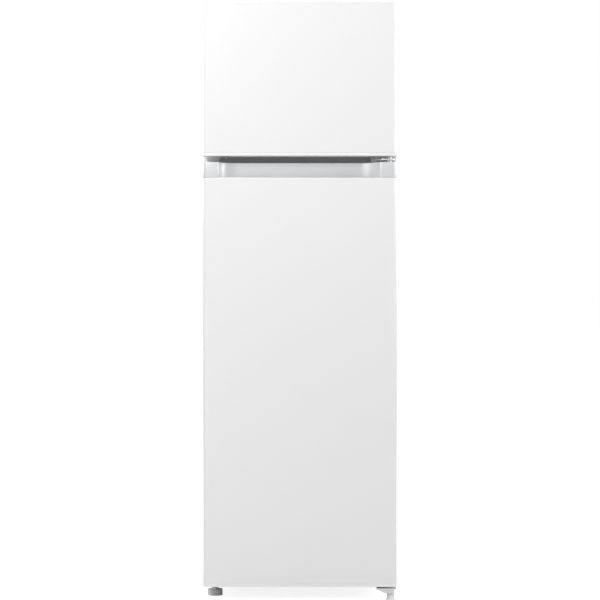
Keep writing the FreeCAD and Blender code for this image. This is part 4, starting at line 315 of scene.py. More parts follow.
@dataclass(frozen=True)
class Finish:
    """One finish: its record slot, its colour and the effects laid over it.

    Lengths of relief are in metres; scales are in cycles per metre.
    """

    name: str
    slot: str
    colour: Colour
    roughness: float
    metallic: float = 0.0
    coat: float = 0.0
    coat_roughness: float = 0.1
    specular: float = 0.5
    rough_spread: float = 0.06
    rough_scale: float = 9.0
    tone: float = 0.04
    tone_scale: float = 6.0
    grain_scale: float = 900.0
    grain_depth: float = 0.00002
    wave_scale: float = 0.0
    wave_depth: float = 0.0
    streak_scale: float = 0.0
    streak_depth: float = 0.0
    spangle_scale: float = 0.0
    dust: float = 0.0
    see_through: float = 0.0
    refraction: float = 1.46
    scatter: float = 0.0
    glow: float = 0.0

    def material(self) -> bpy.types.Material:
        """The finish's material, built on first use, under a name apart from the CAD slots' own."""
        known = bpy.data.materials.get(f"{self.name}_finish")
        return known if known else self._build()

    @staticmethod
    def _group(tree: Tree, effect: Effect, **values: object) -> Node:
        """Places a shared group.

        Args:
            tree: the material's node tree.
            effect: which group.
            values: its inputs by name, as numbers or colours.

        Returns:
            The placed group node.
        """
        node = tree.nodes.new("ShaderNodeGroup")
        node.node_tree = EFFECTS.trees[effect]
        for name, value in values.items():
            node.inputs[name].default_value = value
        return node

    def _build(self) -> bpy.types.Material:
        """Builds the node tree of the finish."""
        material = bpy.data.materials.new(f"{self.name}_finish")
        material.use_nodes = True
        tree = material.node_tree
        shader = tree.nodes["Principled BSDF"]
        shader.inputs["Metallic"].default_value = self.metallic
        shader.inputs["Coat Weight"].default_value = self.coat
        shader.inputs["Coat Roughness"].default_value = self.coat_roughness
        shader.inputs["Specular IOR Level"].default_value = self.specular
        shader.inputs["IOR"].default_value = self.refraction
        shader.inputs["Transmission Weight"].default_value = self.see_through
        shader.inputs["Subsurface Weight"].default_value = self.scatter
        shader.inputs["Subsurface Scale"].default_value = 0.004
        self._colour(tree, shader)
        self._gloss(tree, shader)
        self._relief(tree, shader)
        if self.glow:
            shader.inputs["Emission Color"].default_value = (*self.colour, 1.0)
            shader.inputs["Emission Strength"].default_value = self.glow
        return material

    def _colour(self, tree: Tree, shader: Node) -> None:
        """Base colour: a drift of tone, then spangle or dust where the finish has them."""
        dark = tuple(c * (1.0 - self.tone) for c in self.colour)
        node = self._group(tree, Effect.TONE, Light=(*self.colour, 1.0), Dark=(*dark, 1.0),
                           Scale=self.tone_scale)
        colour = node.outputs["Color"]
        if self.spangle_scale:
            cells = self._group(tree, Effect.SPANGLE, Scale=self.spangle_scale)
            tree.links.new(colour, cells.inputs["Color"])
            colour = cells.outputs["Color"]
        if self.dust:
            film = self._group(tree, Effect.DUST, Amount=self.dust)
            tree.links.new(colour, film.inputs["Color"])
            colour = film.outputs["Color"]
        tree.links.new(colour, shader.inputs["Base Color"])

    def _gloss(self, tree: Tree, shader: Node) -> None:
        """Roughness that wanders a little about its value."""
        node = self._group(tree, Effect.SMUDGE, Low=max(self.roughness - self.rough_spread / 2, 0.01),
                           High=self.roughness + self.rough_spread / 2, Scale=self.rough_scale)
        tree.links.new(node.outputs["Roughness"], shader.inputs["Roughness"])

    def _relief(self, tree: Tree, shader: Node) -> None:
        """Bump: grain, then the panel's wave, then streaks."""
        layers = [(Effect.GRAIN, self.grain_scale, self.grain_depth),
                  (Effect.WAVE, self.wave_scale, self.wave_depth),
                  (Effect.BRUSH, self.streak_scale, self.streak_depth)]
        normal = None
        for effect, scale, depth in layers:
            if not (scale and depth):
                continue
            node = self._group(tree, effect, Scale=scale)
            bump = tree.nodes.new("ShaderNodeBump")
            bump.inputs["Distance"].default_value = depth
            tree.links.new(node.outputs["Height"], bump.inputs["Height"])
            if normal:
                tree.links.new(normal, bump.inputs["Normal"])
            normal = bump.outputs["Normal"]
        if normal:
            tree.links.new(normal, shader.inputs["Normal"])


ENAMEL = Finish("white_enamel", "white_enamel", (0.90, 0.90, 0.90), 0.30, coat=0.35, coat_roughness=0.12,
                tone=0.012, tone_scale=2.5, grain_scale=750.0, grain_depth=0.000012, wave_scale=3.0,
                wave_depth=0.0002)
TRIM_WHITE = Finish("white_trim", "white_trim", (0.92, 0.92, 0.915), 0.26, tone=0.01, grain_scale=1400.0,
                    grain_depth=0.000008)
SILVER = Finish("silver_lacquer", "silver_trim", (0.775, 0.785, 0.80), 0.38, metallic=0.2, coat=0.5,
                coat_roughness=0.16, tone=0.02, grain_scale=3200.0, grain_depth=0.00001)
LINER = Finish("liner_white", "liner_white", (0.84, 0.85, 0.85), 0.24, tone=0.015, grain_scale=520.0,
               grain_depth=0.000015, wave_scale=9.0, wave_depth=0.0005, scatter=0.05)
GASKET = Finish("gasket_grey", "gasket_grey", (0.56, 0.57, 0.58), 0.55, tone=0.06, tone_scale=14.0,
                grain_scale=1600.0, grain_depth=0.00002, dust=0.12)
ZINC = Finish("zinc_steel", "zinc_steel", (0.60, 0.61, 0.62), 0.38, metallic=0.95, rough_spread=0.18,
              rough_scale=40.0, tone=0.06, spangle_scale=110.0, grain_scale=1500.0, grain_depth=0.000008)
HINGE_STEEL = Finish("plated_hinge_steel", "zinc_steel", (0.88, 0.88, 0.88), 0.36, metallic=0.45,
                     rough_spread=0.12, rough_scale=60.0, tone=0.05, streak_scale=900.0,
                     streak_depth=0.000006)
BLACK_STEEL = Finish("black_steel", "black_steel", (0.020, 0.020, 0.022), 0.36, coat=0.25, tone=0.1,
                     rough_spread=0.14, rough_scale=30.0, grain_scale=1100.0, grain_depth=0.00002, dust=0.22)
BLACK_PLASTIC = Finish("black_moulding", "black_plastic", (0.028, 0.028, 0.030), 0.5, tone=0.1,
                       rough_spread=0.1, grain_scale=1800.0, grain_depth=0.00004, dust=0.18)
BLACK_RUBBER = Finish("black_rubber", "black_rubber", (0.018, 0.018, 0.018), 0.75, tone=0.15,
                      grain_scale=1300.0, grain_depth=0.00004, dust=0.25)
COPPER = Finish("copper_tube", "copper", (0.72, 0.37, 0.24), 0.30, metallic=1.0, rough_spread=0.22,
                rough_scale=120.0, tone=0.35, tone_scale=45.0, grain_scale=1200.0, grain_depth=0.000008)
ALLOY = Finish("evaporator_alloy", "evaporator_alloy", (0.72, 0.73, 0.74), 0.36, metallic=1.0,
               streak_scale=500.0, streak_depth=0.00001)
FOAM = Finish("foam_core", "foam", (0.80, 0.70, 0.42), 0.85, tone=0.12, tone_scale=30.0, grain_scale=650.0,
              grain_depth=0.0003)
INNER_WHITE = Finish("inner_white", "inner_white", (0.85, 0.855, 0.86), 0.28, tone=0.012, grain_scale=1500.0,
                     grain_depth=0.00001, scatter=0.04)
DRAIN_WHITE = Finish("drain_white", "drain_white", (0.72, 0.72, 0.69), 0.5, tone=0.08, grain_depth=0.00002)
LENS = Finish("lens_clear", "lens_clear", (0.95, 0.96, 0.97), 0.16, see_through=0.85, refraction=1.49,
              tone=0.01, grain_depth=0.00001)
GLASS = Finish("shelf_glass", "shelf_glass", (0.90, 0.965, 0.94), 0.02, see_through=1.0, refraction=1.52,
               rough_spread=0.015, tone=0.01, grain_depth=0.0)
WIRE_WHITE = Finish("coated_wire", "coated_wire", (0.84, 0.85, 0.85), 0.33, tone=0.03, tone_scale=30.0,
                    grain_scale=700.0, grain_depth=0.00004)
CLEAR = Finish("clear_moulding", "clear_plastic", (0.97, 0.985, 0.993), 0.06, see_through=0.95,
               refraction=1.5, rough_spread=0.03, tone=0.01, wave_scale=30.0, wave_depth=0.0002,
               grain_depth=0.0)
FOOT_GREY = Finish("foot_grey", "foot_grey", (0.82, 0.82, 0.82), 0.45, tone=0.1, grain_scale=1300.0,
                   grain_depth=0.00003, dust=0.1)
ROLLER_BLACK = Finish("roller_black", "roller_black", (0.035, 0.035, 0.036), 0.55, tone=0.15,
                      grain_scale=1300.0, grain_depth=0.00003, dust=0.25)
DIAL_PRINT = Finish("dial_print", "inner_white", (0.10, 0.13, 0.17), 0.4, tone=0.05, grain_depth=0.0)
# Painted shade: the mullion rail is really white enamel, but it is coloured a darker blue-grey to stand in for
# the shadow that falls in the gap between the doors.
RAIL_PAINTED_SHADE = Finish("rail_painted_shade", "white_enamel", (0.50, 0.525, 0.545), 0.36, coat=0.2, tone=0.015,
                   grain_scale=750.0, grain_depth=0.000012)
STUDIO_WHITE = Finish("studio_floor", "white_enamel", (0.52, 0.52, 0.52), 0.9, tone=0.0, grain_depth=0.0)


# ---- mesh helpers --------------------------------------------------------------------------------------
def body_of(node: str) -> str:
    """The CAD body that a node rides on."""
    return frame["nodes"][node]["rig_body"]


def new_mesh(name: str, points: Sequence[Sequence[float]], faces: Sequence[Sequence[int]],
             smooth_deg: float = 35.0) -> bpy.types.Object:
    """A mesh object at the origin, smooth except over sharp edges.

    Args:
        name: the object's name.
        points: vertex positions.
        faces: vertex indices of each face.
        smooth_deg: edges that turn by more than this stay sharp.

    Returns:
        The object, linked to the scene.
    """
    mesh = bpy.data.meshes.new(name)
    mesh.from_pydata([tuple(p) for p in points], [], [tuple(f) for f in faces])
    mesh.validate()
    shade(mesh, smooth_deg)
    return linked(name, mesh)


def shade(mesh: bpy.types.Mesh, smooth_deg: float) -> None:
    """Smooth shading that breaks at sharp edges.

    Args:
        mesh: the mesh to shade.
        smooth_deg: edges that turn by more than this stay sharp.
    """
    mesh.polygons.foreach_set("use_smooth", [True] * len(mesh.polygons))
    mesh.set_sharp_from_angle(angle=math.radians(smooth_deg))
    mesh.update()


@contextmanager
def reworked(mesh: bpy.types.Mesh, merge: float) -> Iterator[bmesh.types.BMesh]:
    """Opens a mesh for editing with its doubles merged, and writes it back.

    Args:
        mesh: the mesh to edit.
        merge: points closer than this become one.

    Yields:
        The open mesh.
    """
    work = bmesh.new()
    work.from_mesh(mesh)
    bmesh.ops.remove_doubles(work, verts=work.verts, dist=merge)
    yield work
    work.to_mesh(mesh)
    work.free()


def outward(obj: bpy.types.Object, merge: float = 1e-6) -> None:
    """Merges doubles and turns every face of a closed mesh outwards."""
    with reworked(obj.data, merge) as work:
        bmesh.ops.recalc_face_normals(work, faces=work.faces)


def settle(obj: bpy.types.Object) -> bpy.types.Object:
    """Turns a mesh object's modifiers into plain mesh.

    Args:
        obj: the object with its modifiers.

    Returns:
        The same object, without them.
    """
    bpy.context.view_layer.update()
    evaluated = obj.evaluated_get(bpy.context.evaluated_depsgraph_get())
    mesh = bpy.data.meshes.new_from_object(evaluated)
    old = obj.data
    obj.modifiers.clear()
    obj.data = mesh
    bpy.data.meshes.remove(old)
    return obj


def linked(name: str, data: bpy.types.ID) -> bpy.types.Object:
    """A new object in the scene that holds the data."""
    obj = bpy.data.objects.new(name, data)
    bpy.context.scene.collection.objects.link(obj)
    return obj


def soften(obj: bpy.types.Object, width: float, segments: int = 3,
           sharp_deg: float = 30.0) -> bpy.types.Object:
    """Rounds the sharp edges of a piece.

    Args:
        obj: the piece.
        width: the round's width.
        segments: faces across the round.
        sharp_deg: only edges that turn by more than this are rounded.

    Returns:
        The piece, its modifier applied.
    """
    bevel = obj.modifiers.new("edge_round", "BEVEL")
    bevel.width = width
    bevel.segments = segments
    bevel.limit_method = "ANGLE"
    bevel.angle_limit = math.radians(sharp_deg)
    bevel.harden_normals = True
    bevel.miter_outer = "MITER_ARC"
    return settle(obj)


def dress(obj: bpy.types.Object, finish: Finish, body: str, *nodes: str) -> bpy.types.Object:
    """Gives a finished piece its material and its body.

    Args:
        obj: the piece.
        finish: its finish.
        body: the CAD body it rides on.
        nodes: the CAD nodes it stands for.

    Returns:
        The piece.
    """
    obj.data.materials.clear()
    obj.data.materials.append(finish.material())
    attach(obj, body)
    if nodes:
        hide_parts(*nodes)
    LOG.info("%s: %d faces on %s", obj.name, len(obj.data.polygons), body)
    return obj


@dataclass
class SoftenedPart:
    """A CAD node's shape with its doubles merged and its edges rounded as the real piece's are."""

    node: str
    finish: Finish
    edge: float = 0.0006
    segments: int = 2
    sharp_deg: float = 40.0
    flat_deg: float = 0.8

    def build(self) -> bpy.types.Object:
        """Builds and dresses the piece."""
        mesh = frame["nodes"][self.node].data.copy()
        obj = linked(f"{self.node}_finished", mesh)
        with reworked(mesh, 5e-6) as work:
            bmesh.ops.dissolve_limit(work, angle_limit=math.radians(self.flat_deg), verts=work.verts,
                                     edges=work.edges, delimit={"NORMAL"})
        shade(mesh, self.sharp_deg)
        if self.edge:
            obj = soften(obj, self.edge, self.segments, self.sharp_deg)
        return dress(obj, self.finish, body_of(self.node), self.node)


def build_softened(parts: Iterable[SoftenedPart]) -> None:
    """Builds a run of softened parts."""
    for part in parts:
        part.build()


def arc_points(centre: Point2, radius: float, start_deg: float, end_deg: float, steps: int) -> list[Point2]:
    """Points along an arc, both ends included.

    Args:
        centre: the arc's centre.
        radius: its radius.
        start_deg: where it starts, anticlockwise from the first axis.
        end_deg: where it ends.
        steps: segments along it.

    Returns:
        steps + 1 points.
    """
    turns = [math.radians(start_deg + (end_deg - start_deg) * i / steps) for i in range(steps + 1)]
    return [(centre[0] + radius * math.cos(t), centre[1] + radius * math.sin(t)) for t in turns]


def rounded_polyline(corners: Sequence[Point2], radii: Sequence[float], steps: int = 6) -> list[Point2]:
    """An open line whose inner corners are rounded.

    Args:
        corners: the line's points.
        radii: one radius per inner corner.
        steps: segments per round.

    Returns:
        The rounded line's points.
    """
    line = [Vector(c) for c in corners]
    points = [tuple(line[0])]
    for before, corner, after, radius in zip(line, line[1:], line[2:], radii):
        if radius <= 0:
            points.append(tuple(corner))
            continue
        back, ahead = (before - corner).normalized(), (after - corner).normalized()
        half = back.angle(ahead) / 2
        reach = radius / math.tan(half)
        centre = corner + (back + ahead).normalized() * (radius / math.sin(half))
        first, last = corner + back * reach - centre, corner + ahead * reach - centre
        sweep = first.angle_signed(last)
        for i in range(steps + 1):
            points.append(tuple(centre + Matrix.Rotation(-sweep * i / steps, 2) @ first))
    points.append(tuple(line[-1]))
    return points


@dataclass
class Ring:
    """A rounded rectangle in the X-Z plane, its depth measured along Y."""

    half_w: float
    low: float
    high: float
    radius: float
    depth: float

    def inset(self, by: float, depth: float) -> "Ring":
        """The same ring drawn in by a distance, at another depth."""
        return Ring(self.half_w - by, self.low + by, self.high - by, max(self.radius - by, 0.0008), depth)

    def outline(self, steps: int) -> list[Point2]:
        """Points round the ring, anticlockwise from the lower right, the same number for any size."""
        r = min(self.radius, self.half_w * 0.98, (self.high - self.low) * 0.49)
        w, lo, hi = self.half_w, self.low, self.high
        points: list[Point2] = []
        for centre, start in (((w - r, lo + r), -90), ((w - r, hi - r), 0), ((-w + r, hi - r), 90),
                              ((-w + r, lo + r), 180)):
            points += arc_points(centre, r, start, start + 90, steps)
        return points


def wall_faces(levels: int, count: int, inward: bool = False) -> list[list[int]]:
    """The faces between closed rings of equal length that follow each other.

    Args:
        levels: how many rings there are.
        count: points in each ring.
        inward: turns the faces towards the rings' middle.

    Returns:
        Vertex indices of each face, ring by ring.
    """
    faces: list[list[int]] = []
    for a in range(0, (levels - 1) * count, count):
        b = a + count
        for i in range(count):
            j = (i + 1) % count
            faces.append([a + i, b + i, b + j, a + j] if inward else [a + i, a + j, b + j, b + i])
    return faces


@dataclass
class LoftedShell:
    """A moulded surface through a run of rings, closed over the last where asked."""

    name: str
    rings: list[Ring]
    corner_steps: int = 8
    close_last: bool = True
    thickness: float = 0.0
    smooth_deg: float = 40.0

    def build(self, flip: bool = False) -> bpy.types.Object:
        """Builds the surface.

        Args:
            flip: turns the faces round, for an open surface seen from its other side.

        Returns:
            The object, with its wall thickness made real.
        """
        points = [(x, ring.depth, z) for ring in self.rings for x, z in ring.outline(self.corner_steps)]
        count = 4 * (self.corner_steps + 1)
        faces = wall_faces(len(self.rings), count)
        if self.close_last:
            last = (len(self.rings) - 1) * count
            faces.append([last + i for i in range(count)])
        if flip:
            faces = [f[::-1] for f in faces]
        obj = new_mesh(self.name, points, faces, self.smooth_deg)
        if self.thickness:
            wall = obj.modifiers.new("wall", "SOLIDIFY")
            wall.thickness = self.thickness
            wall.offset = -1.0
            wall.use_even_offset = False
            obj = settle(obj)
        return obj


def drawn_in(outline: Sequence[Point2], by: float) -> list[Point2]:
    """A closed anticlockwise outline moved inwards by a small distance.

    Args:
        outline: the outline's points.
        by: how far they move.

    Returns:
        The moved points.
    """
    moved: list[Point2] = []
    count = len(outline)
    for i, point in enumerate(outline):
        before, after = Vector(outline[i - 1]), Vector(outline[(i + 1) % count])
        here = Vector(point)
        first, second = (here - before).normalized(), (after - here).normalized()
        square = Vector((-first.y, first.x))
        normal = square + Vector((-second.y, second.x))
        normal.normalize()
        reach = by / max(normal.dot(square), 0.5)
        moved.append(tuple(here + normal * reach))
    return moved


def stacked(name: str, rings: Sequence[tuple[Sequence[Point2], float]],
            smooth_deg: float = 40.0) -> bpy.types.Object:
    """A closed solid through plan outlines of equal length, each at its own height.

    Args:
        name: the object's name.
        rings: outline and height, lowest first, each outline anticlockwise from above.
        smooth_deg: edges that turn by more than this stay sharp.

    Returns:
        The object.
    """
    count = len(rings[0][0])
    points = [(x, y, z) for outline, z in rings for x, y in outline]
    last = (len(rings) - 1) * count
    faces = wall_faces(len(rings), count) + [list(range(count))[::-1], [last + i for i in range(count)]]
    return new_mesh(name, points, faces, smooth_deg)


def join(name: str, pieces: Sequence[bpy.types.Object], smooth_deg: float = 40.0) -> bpy.types.Object:
    """One object from several at the origin.

    Args:
        name: the new object's name.
        pieces: the objects, which are removed.
        smooth_deg: edges that turn by more than this stay sharp.

    Returns:
        The object.
    """
    work = bmesh.new()
    for piece in pieces:
        work.from_mesh(piece.data)
    mesh = bpy.data.meshes.new(name)
    work.to_mesh(mesh)
    work.free()
    for piece in pieces:
        bpy.data.objects.remove(piece)
    shade(mesh, smooth_deg)
    return linked(name, mesh)


def rounded_bar(name: str, low: Point3, high: Point3, edge: float, segments: int = 3) -> bpy.types.Object:
    """A box with all its edges rounded.

    Args:
        name: the object's name.
        low: its lowest corner.
        high: its highest corner.
        edge: the round's width.
        segments: faces across the round.

    Returns:
        The object.
    """
    (x0, y0, z0), (x1, y1, z1) = low, high
    points = [(x, y, z) for z in (z0, z1) for x, y in ((x0, y0), (x1, y0), (x1, y1), (x0, y1))]
    faces = [[3, 2, 1, 0], [4, 5, 6, 7], [0, 1, 5, 4], [1, 2, 6, 5], [2, 3, 7, 6], [3, 0, 4, 7]]
    return soften(new_mesh(name, points, faces), edge, segments)


def round_bar_along(name: str, route: Sequence[Point3], radius: float, bend: float, sides: int = 12,
                    bend_steps: int = 7) -> bpy.types.Object:
    """A bent tube: straight runs joined by arcs, as a capped mesh.

    Args:
        name: the object's name.
        route: the corners of the centre line.
        radius: the tube's radius.
        bend: radius of the centre line at each corner.
        sides: faces round the tube.
        bend_steps: segments per bend.

    Returns:
        The object.
    """
    line = [Vector(p) for p in route]
    path = [line[0]]
    for before, corner, after in zip(line, line[1:], line[2:]):
        back, ahead = (before - corner).normalized(), (after - corner).normalized()
        half = back.angle(ahead) / 2
        reach = bend / math.tan(half)
        middle = corner + (back + ahead).normalized() * (bend / math.sin(half))
        first, last = corner + back * reach - middle, corner + ahead * reach - middle
        sweep = first.angle(last)
        for i in range(bend_steps + 1):
            share = i / bend_steps
            weight_a, weight_b = math.sin((1 - share) * sweep), math.sin(share * sweep)
            path.append(middle + (first * weight_a + last * weight_b) / math.sin(sweep))
    path.append(line[-1])
    heading = (path[1] - path[0]).normalized()
    side = heading.orthogonal().normalized()
    points: list[Point3] = []
    for i, spot in enumerate(path):
        ahead = path[min(i + 1, len(path) - 1)] - path[max(i - 1, 0)]
        ahead.normalize()
        side = (side - ahead * side.dot(ahead)).normalized()
        up = ahead.cross(side)
        for k in range(sides):
            turn = 2 * math.pi * k / sides
            points.append(tuple(spot + (side * math.cos(turn) + up * math.sin(turn)) * radius))
    last = (len(path) - 1) * sides
    faces = wall_faces(len(path), sides) + [list(range(sides))[::-1], [last + i for i in range(sides)]]
    return new_mesh(name, points, faces, 50.0)


# ---- what repeats, grown by Geometry Nodes -------------------------------------------------------------
class GrowthTree:
    """A Geometry Nodes tree with named inputs, and the one way of setting and applying it."""

    def __init__(self, name: str, inputs: dict[str, tuple[str, object]]) -> None:
        self.tree = bpy.data.node_groups.new(name, "GeometryNodeTree")
        self.tree.interface.new_socket("Geometry", in_out="INPUT", socket_type="NodeSocketGeometry")
        for label, (kind, default) in inputs.items():
            socket = self.tree.interface.new_socket(label, in_out="INPUT", socket_type=kind)
            if default is not None:
                socket.default_value = default
        self.tree.interface.new_socket("Geometry", in_out="OUTPUT", socket_type="NodeSocketGeometry")
        self.given = self.tree.nodes.new("NodeGroupInput")
        self.out = self.tree.nodes.new("NodeGroupOutput")

    def node(self, kind: str, **links: object) -> Node:
        """Adds a node and feeds its inputs.

        Args:
            kind: the node's type.
            links: input name (spaces as underscores) to an output socket or a value.

        Returns:
            The node.
        """
        node = self.tree.nodes.new(kind)
        for label, value in links.items():
            socket = node.inputs[label.replace("_", " ")]
            if isinstance(value, Socket):
                self.tree.links.new(value, socket)
            else:
                socket.default_value = value
        return node

    def finish(self, geometry: Socket) -> None:
        """Ends the tree with real geometry, in the finish that is given.

        Args:
            geometry: the instances that the tree has set out.
        """
        real = self.node("GeometryNodeRealizeInstances", Geometry=geometry)
        set_finish = self.node("GeometryNodeSetMaterial", Geometry=real.outputs["Geometry"],
                               Material=self.given.outputs["Finish"])
        self.tree.links.new(set_finish.outputs["Geometry"], self.out.inputs["Geometry"])

    def grow(self, carrier: bpy.types.Object, **values: object) -> bpy.types.Object:
        """Runs the tree on a carrier mesh and turns the result into plain mesh.

        Args:
            carrier: the mesh object the tree starts from.
            values: the tree's inputs by name (spaces as underscores).

        Returns:
            The carrier, holding the grown mesh.
        """
        modifier = carrier.modifiers.new("growth", "NODES")
        modifier.node_group = self.tree
        named = {item.name: item.identifier for item in self.tree.interface.items_tree
                 if item.item_type == "SOCKET" and item.in_out == "INPUT"}
        for label, value in values.items():
            modifier[named[label.replace("_", " ")]] = value
        return settle(carrier)


def rod_row_tree() -> GrowthTree:
    """A row of equal round rods, one step apart."""
    growth = GrowthTree("rod_row", {
        "Rods": ("NodeSocketInt", 10), "Start": ("NodeSocketVector", (0, 0, 0)),
        "Step": ("NodeSocketVector", (0.01, 0, 0)), "Rod": ("NodeSocketVector", (0, 0, 1)),
        "Radius": ("NodeSocketFloat", 0.001), "Sides": ("NodeSocketInt", 8),
        "Finish": ("NodeSocketMaterial", None)})
    given = growth.given.outputs
    spots = growth.node("GeometryNodeMeshLine", Count=given["Rods"], Start_Location=given["Start"],
                        Offset=given["Step"])
    line = growth.node("GeometryNodeCurvePrimitiveLine", End=given["Rod"])
    section = growth.node("GeometryNodeCurvePrimitiveCircle", Radius=given["Radius"],
                          Resolution=given["Sides"])
    rod = growth.node("GeometryNodeCurveToMesh", Curve=line.outputs["Curve"],
                      Profile_Curve=section.outputs["Curve"], Fill_Caps=True)
    placed = growth.node("GeometryNodeInstanceOnPoints", Points=spots.outputs["Mesh"],
                         Instance=rod.outputs["Mesh"])
    growth.finish(placed.outputs["Instances"])
    return growth


def set_pieces_tree() -> GrowthTree:
    """One shape at every point of the carrier, its Z axis along the point's own direction."""
    growth = GrowthTree("set_pieces", {
        "Shape": ("NodeSocketObject", None), "Size": ("NodeSocketFloat", 1.0),
        "Finish": ("NodeSocketMaterial", None)})
    given = growth.given.outputs
    shape = growth.node("GeometryNodeObjectInfo", Object=given["Shape"])
    facing = growth.tree.nodes.new("GeometryNodeInputNamedAttribute")
    facing.data_type = "FLOAT_VECTOR"
    facing.inputs["Name"].default_value = "facing"
    turn = growth.tree.nodes.new("FunctionNodeAlignRotationToVector")
    turn.axis = "Z"
    growth.tree.links.new(facing.outputs["Attribute"], turn.inputs["Vector"])
    placed = growth.node("GeometryNodeInstanceOnPoints", Points=given["Geometry"],
                         Instance=shape.outputs["Geometry"], Rotation=turn.outputs["Rotation"],
                         Scale=given["Size"])
    growth.finish(placed.outputs["Instances"])
    return growth


ROD_ROW = rod_row_tree()
SET_PIECES = set_pieces_tree()


@dataclass
class RodRow:
    """A row of round rods, sized for its place."""

    name: str
    count: int
    start: Point3
    step: Point3
    rod: Point3
    radius: float
    sides: int = 8

    def build(self, finish: Finish) -> bpy.types.Object:
        """Grows the row."""
        carrier = new_mesh(self.name, [(0, 0, 0)], [])
        obj = ROD_ROW.grow(carrier, Rods=self.count, Start=self.start, Step=self.step, Rod=self.rod,
                           Radius=self.radius, Sides=self.sides, Finish=finish.material())
        shade(obj.data, 50.0)
        return obj


def set_pieces(name: str, shape: bpy.types.Object, spots: Sequence[tuple[Point3, Point3]], finish: Finish,
               smooth_deg: float = 35.0) -> bpy.types.Object:
    """Sets a shape at each spot, its Z axis along the spot's direction.

    Args:
        name: the new object's name.
        shape: the pattern piece, which is removed.
        spots: place and direction of each.
        finish: their finish.
        smooth_deg: edges that turn by more than this stay sharp.

    Returns:
        One object that holds them all.
    """
    carrier = new_mesh(name, [spot for spot, _ in spots], [])
    layer = carrier.data.attributes.new("facing", "FLOAT_VECTOR", "POINT")
    layer.data.foreach_set("vector", [v for _, direction in spots for v in direction])
    obj = SET_PIECES.grow(carrier, Shape=shape, Size=1.0, Finish=finish.material())
    bpy.data.objects.remove(shape)
    shade(obj.data, smooth_deg)
    return obj


def kept(finish: Finish, *nodes: str) -> None:
    """Gives CAD nodes whose shape is already right a finish of their own.

    Args:
        finish: the finish.
        nodes: the nodes that wear it.
    """
    for node in nodes:
        mesh = frame["nodes"][node].data
        mesh.materials.clear()
        mesh.materials.append(finish.material())


# ---- doors ---------------------------------------------------------------------------------------------
@dataclass
class DoorPan:
    """The painted steel pan of a door: rounded corners, rolled ends and turned-in back edges."""

    node: str
    corner: float = 0.012
    turn_in: float = 0.008
    sheet: float = 0.0008
    roll: float = 0.0035
    roll_share: float = 0.4
    back_radius: float = 0.0015
    notch: Point3 | None = None

    def _plan(self, half: float, front: float, back: float, inset: float) -> list[Point2]:
        """The pan's path seen from above, left back edge to right back edge.

        Args:
            half: half the door's width.
            front: the front face's place.
            back: the back edge's place.
            inset: how far the rolled end draws in here.

        Returns:
            The path's points.
        """
        half, front = half - inset, front + inset
        corners = [(-half + self.turn_in, back), (-half, back), (-half, front), (half, front), (half, back),
                   (half - self.turn_in, back)]
        front_radius = self.corner - inset
        return rounded_polyline(corners, [self.back_radius, front_radius, front_radius, self.back_radius], 12)

    def build(self) -> bpy.types.Object:
        """Builds and dresses the pan."""
        low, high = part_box(self.node)
        sines = [math.sin(math.radians(18 * i)) for i in range(6)]
        rows = [(low[2] + self.roll * s, self.roll_share * self.roll * (1 - s) ** 2) for s in sines]
        span = high[2] - low[2]
        middle = [(low[2] + span * share, 0.0) for share in (0.2, 0.4, 0.6, 0.8)]
        upper = [(high[2] - (z - low[2]), inset) for z, inset in reversed(rows)]
        rows = rows + middle + upper
        if self.notch:
            rows = sorted(rows + [(self.notch[2], 0.0)])
        plans = [self._plan(high[0], low[1], high[1], inset) for _, inset in rows]
        count = len(plans[0])
        points = [(x, y, z) for plan, (z, _) in zip(plans, rows) for x, y in plan]
        faces = []
        for level in range(len(rows) - 1):
            for i in range(count - 1):
                a, b = level * count + i, (level + 1) * count + i
                x, y = (points[a][0] + points[a + 1][0]) / 2, (points[a][1] + points[a + 1][1]) / 2
                z = (points[a][2] + points[b][2]) / 2
                if self.notch and x > self.notch[0] and y > self.notch[1] and z > self.notch[2]:
                    continue
                faces.append([a, a + 1, b + 1, b])
        pan = new_mesh(f"{self.node}_pan", points, faces, 30.0)
        wall = pan.modifiers.new("sheet", "SOLIDIFY")
        wall.thickness, wall.offset = self.sheet, -1.0
        pan = settle(pan)
        shade(pan.data, 30.0)
        return dress(pan, ENAMEL, body_of(self.node), self.node)


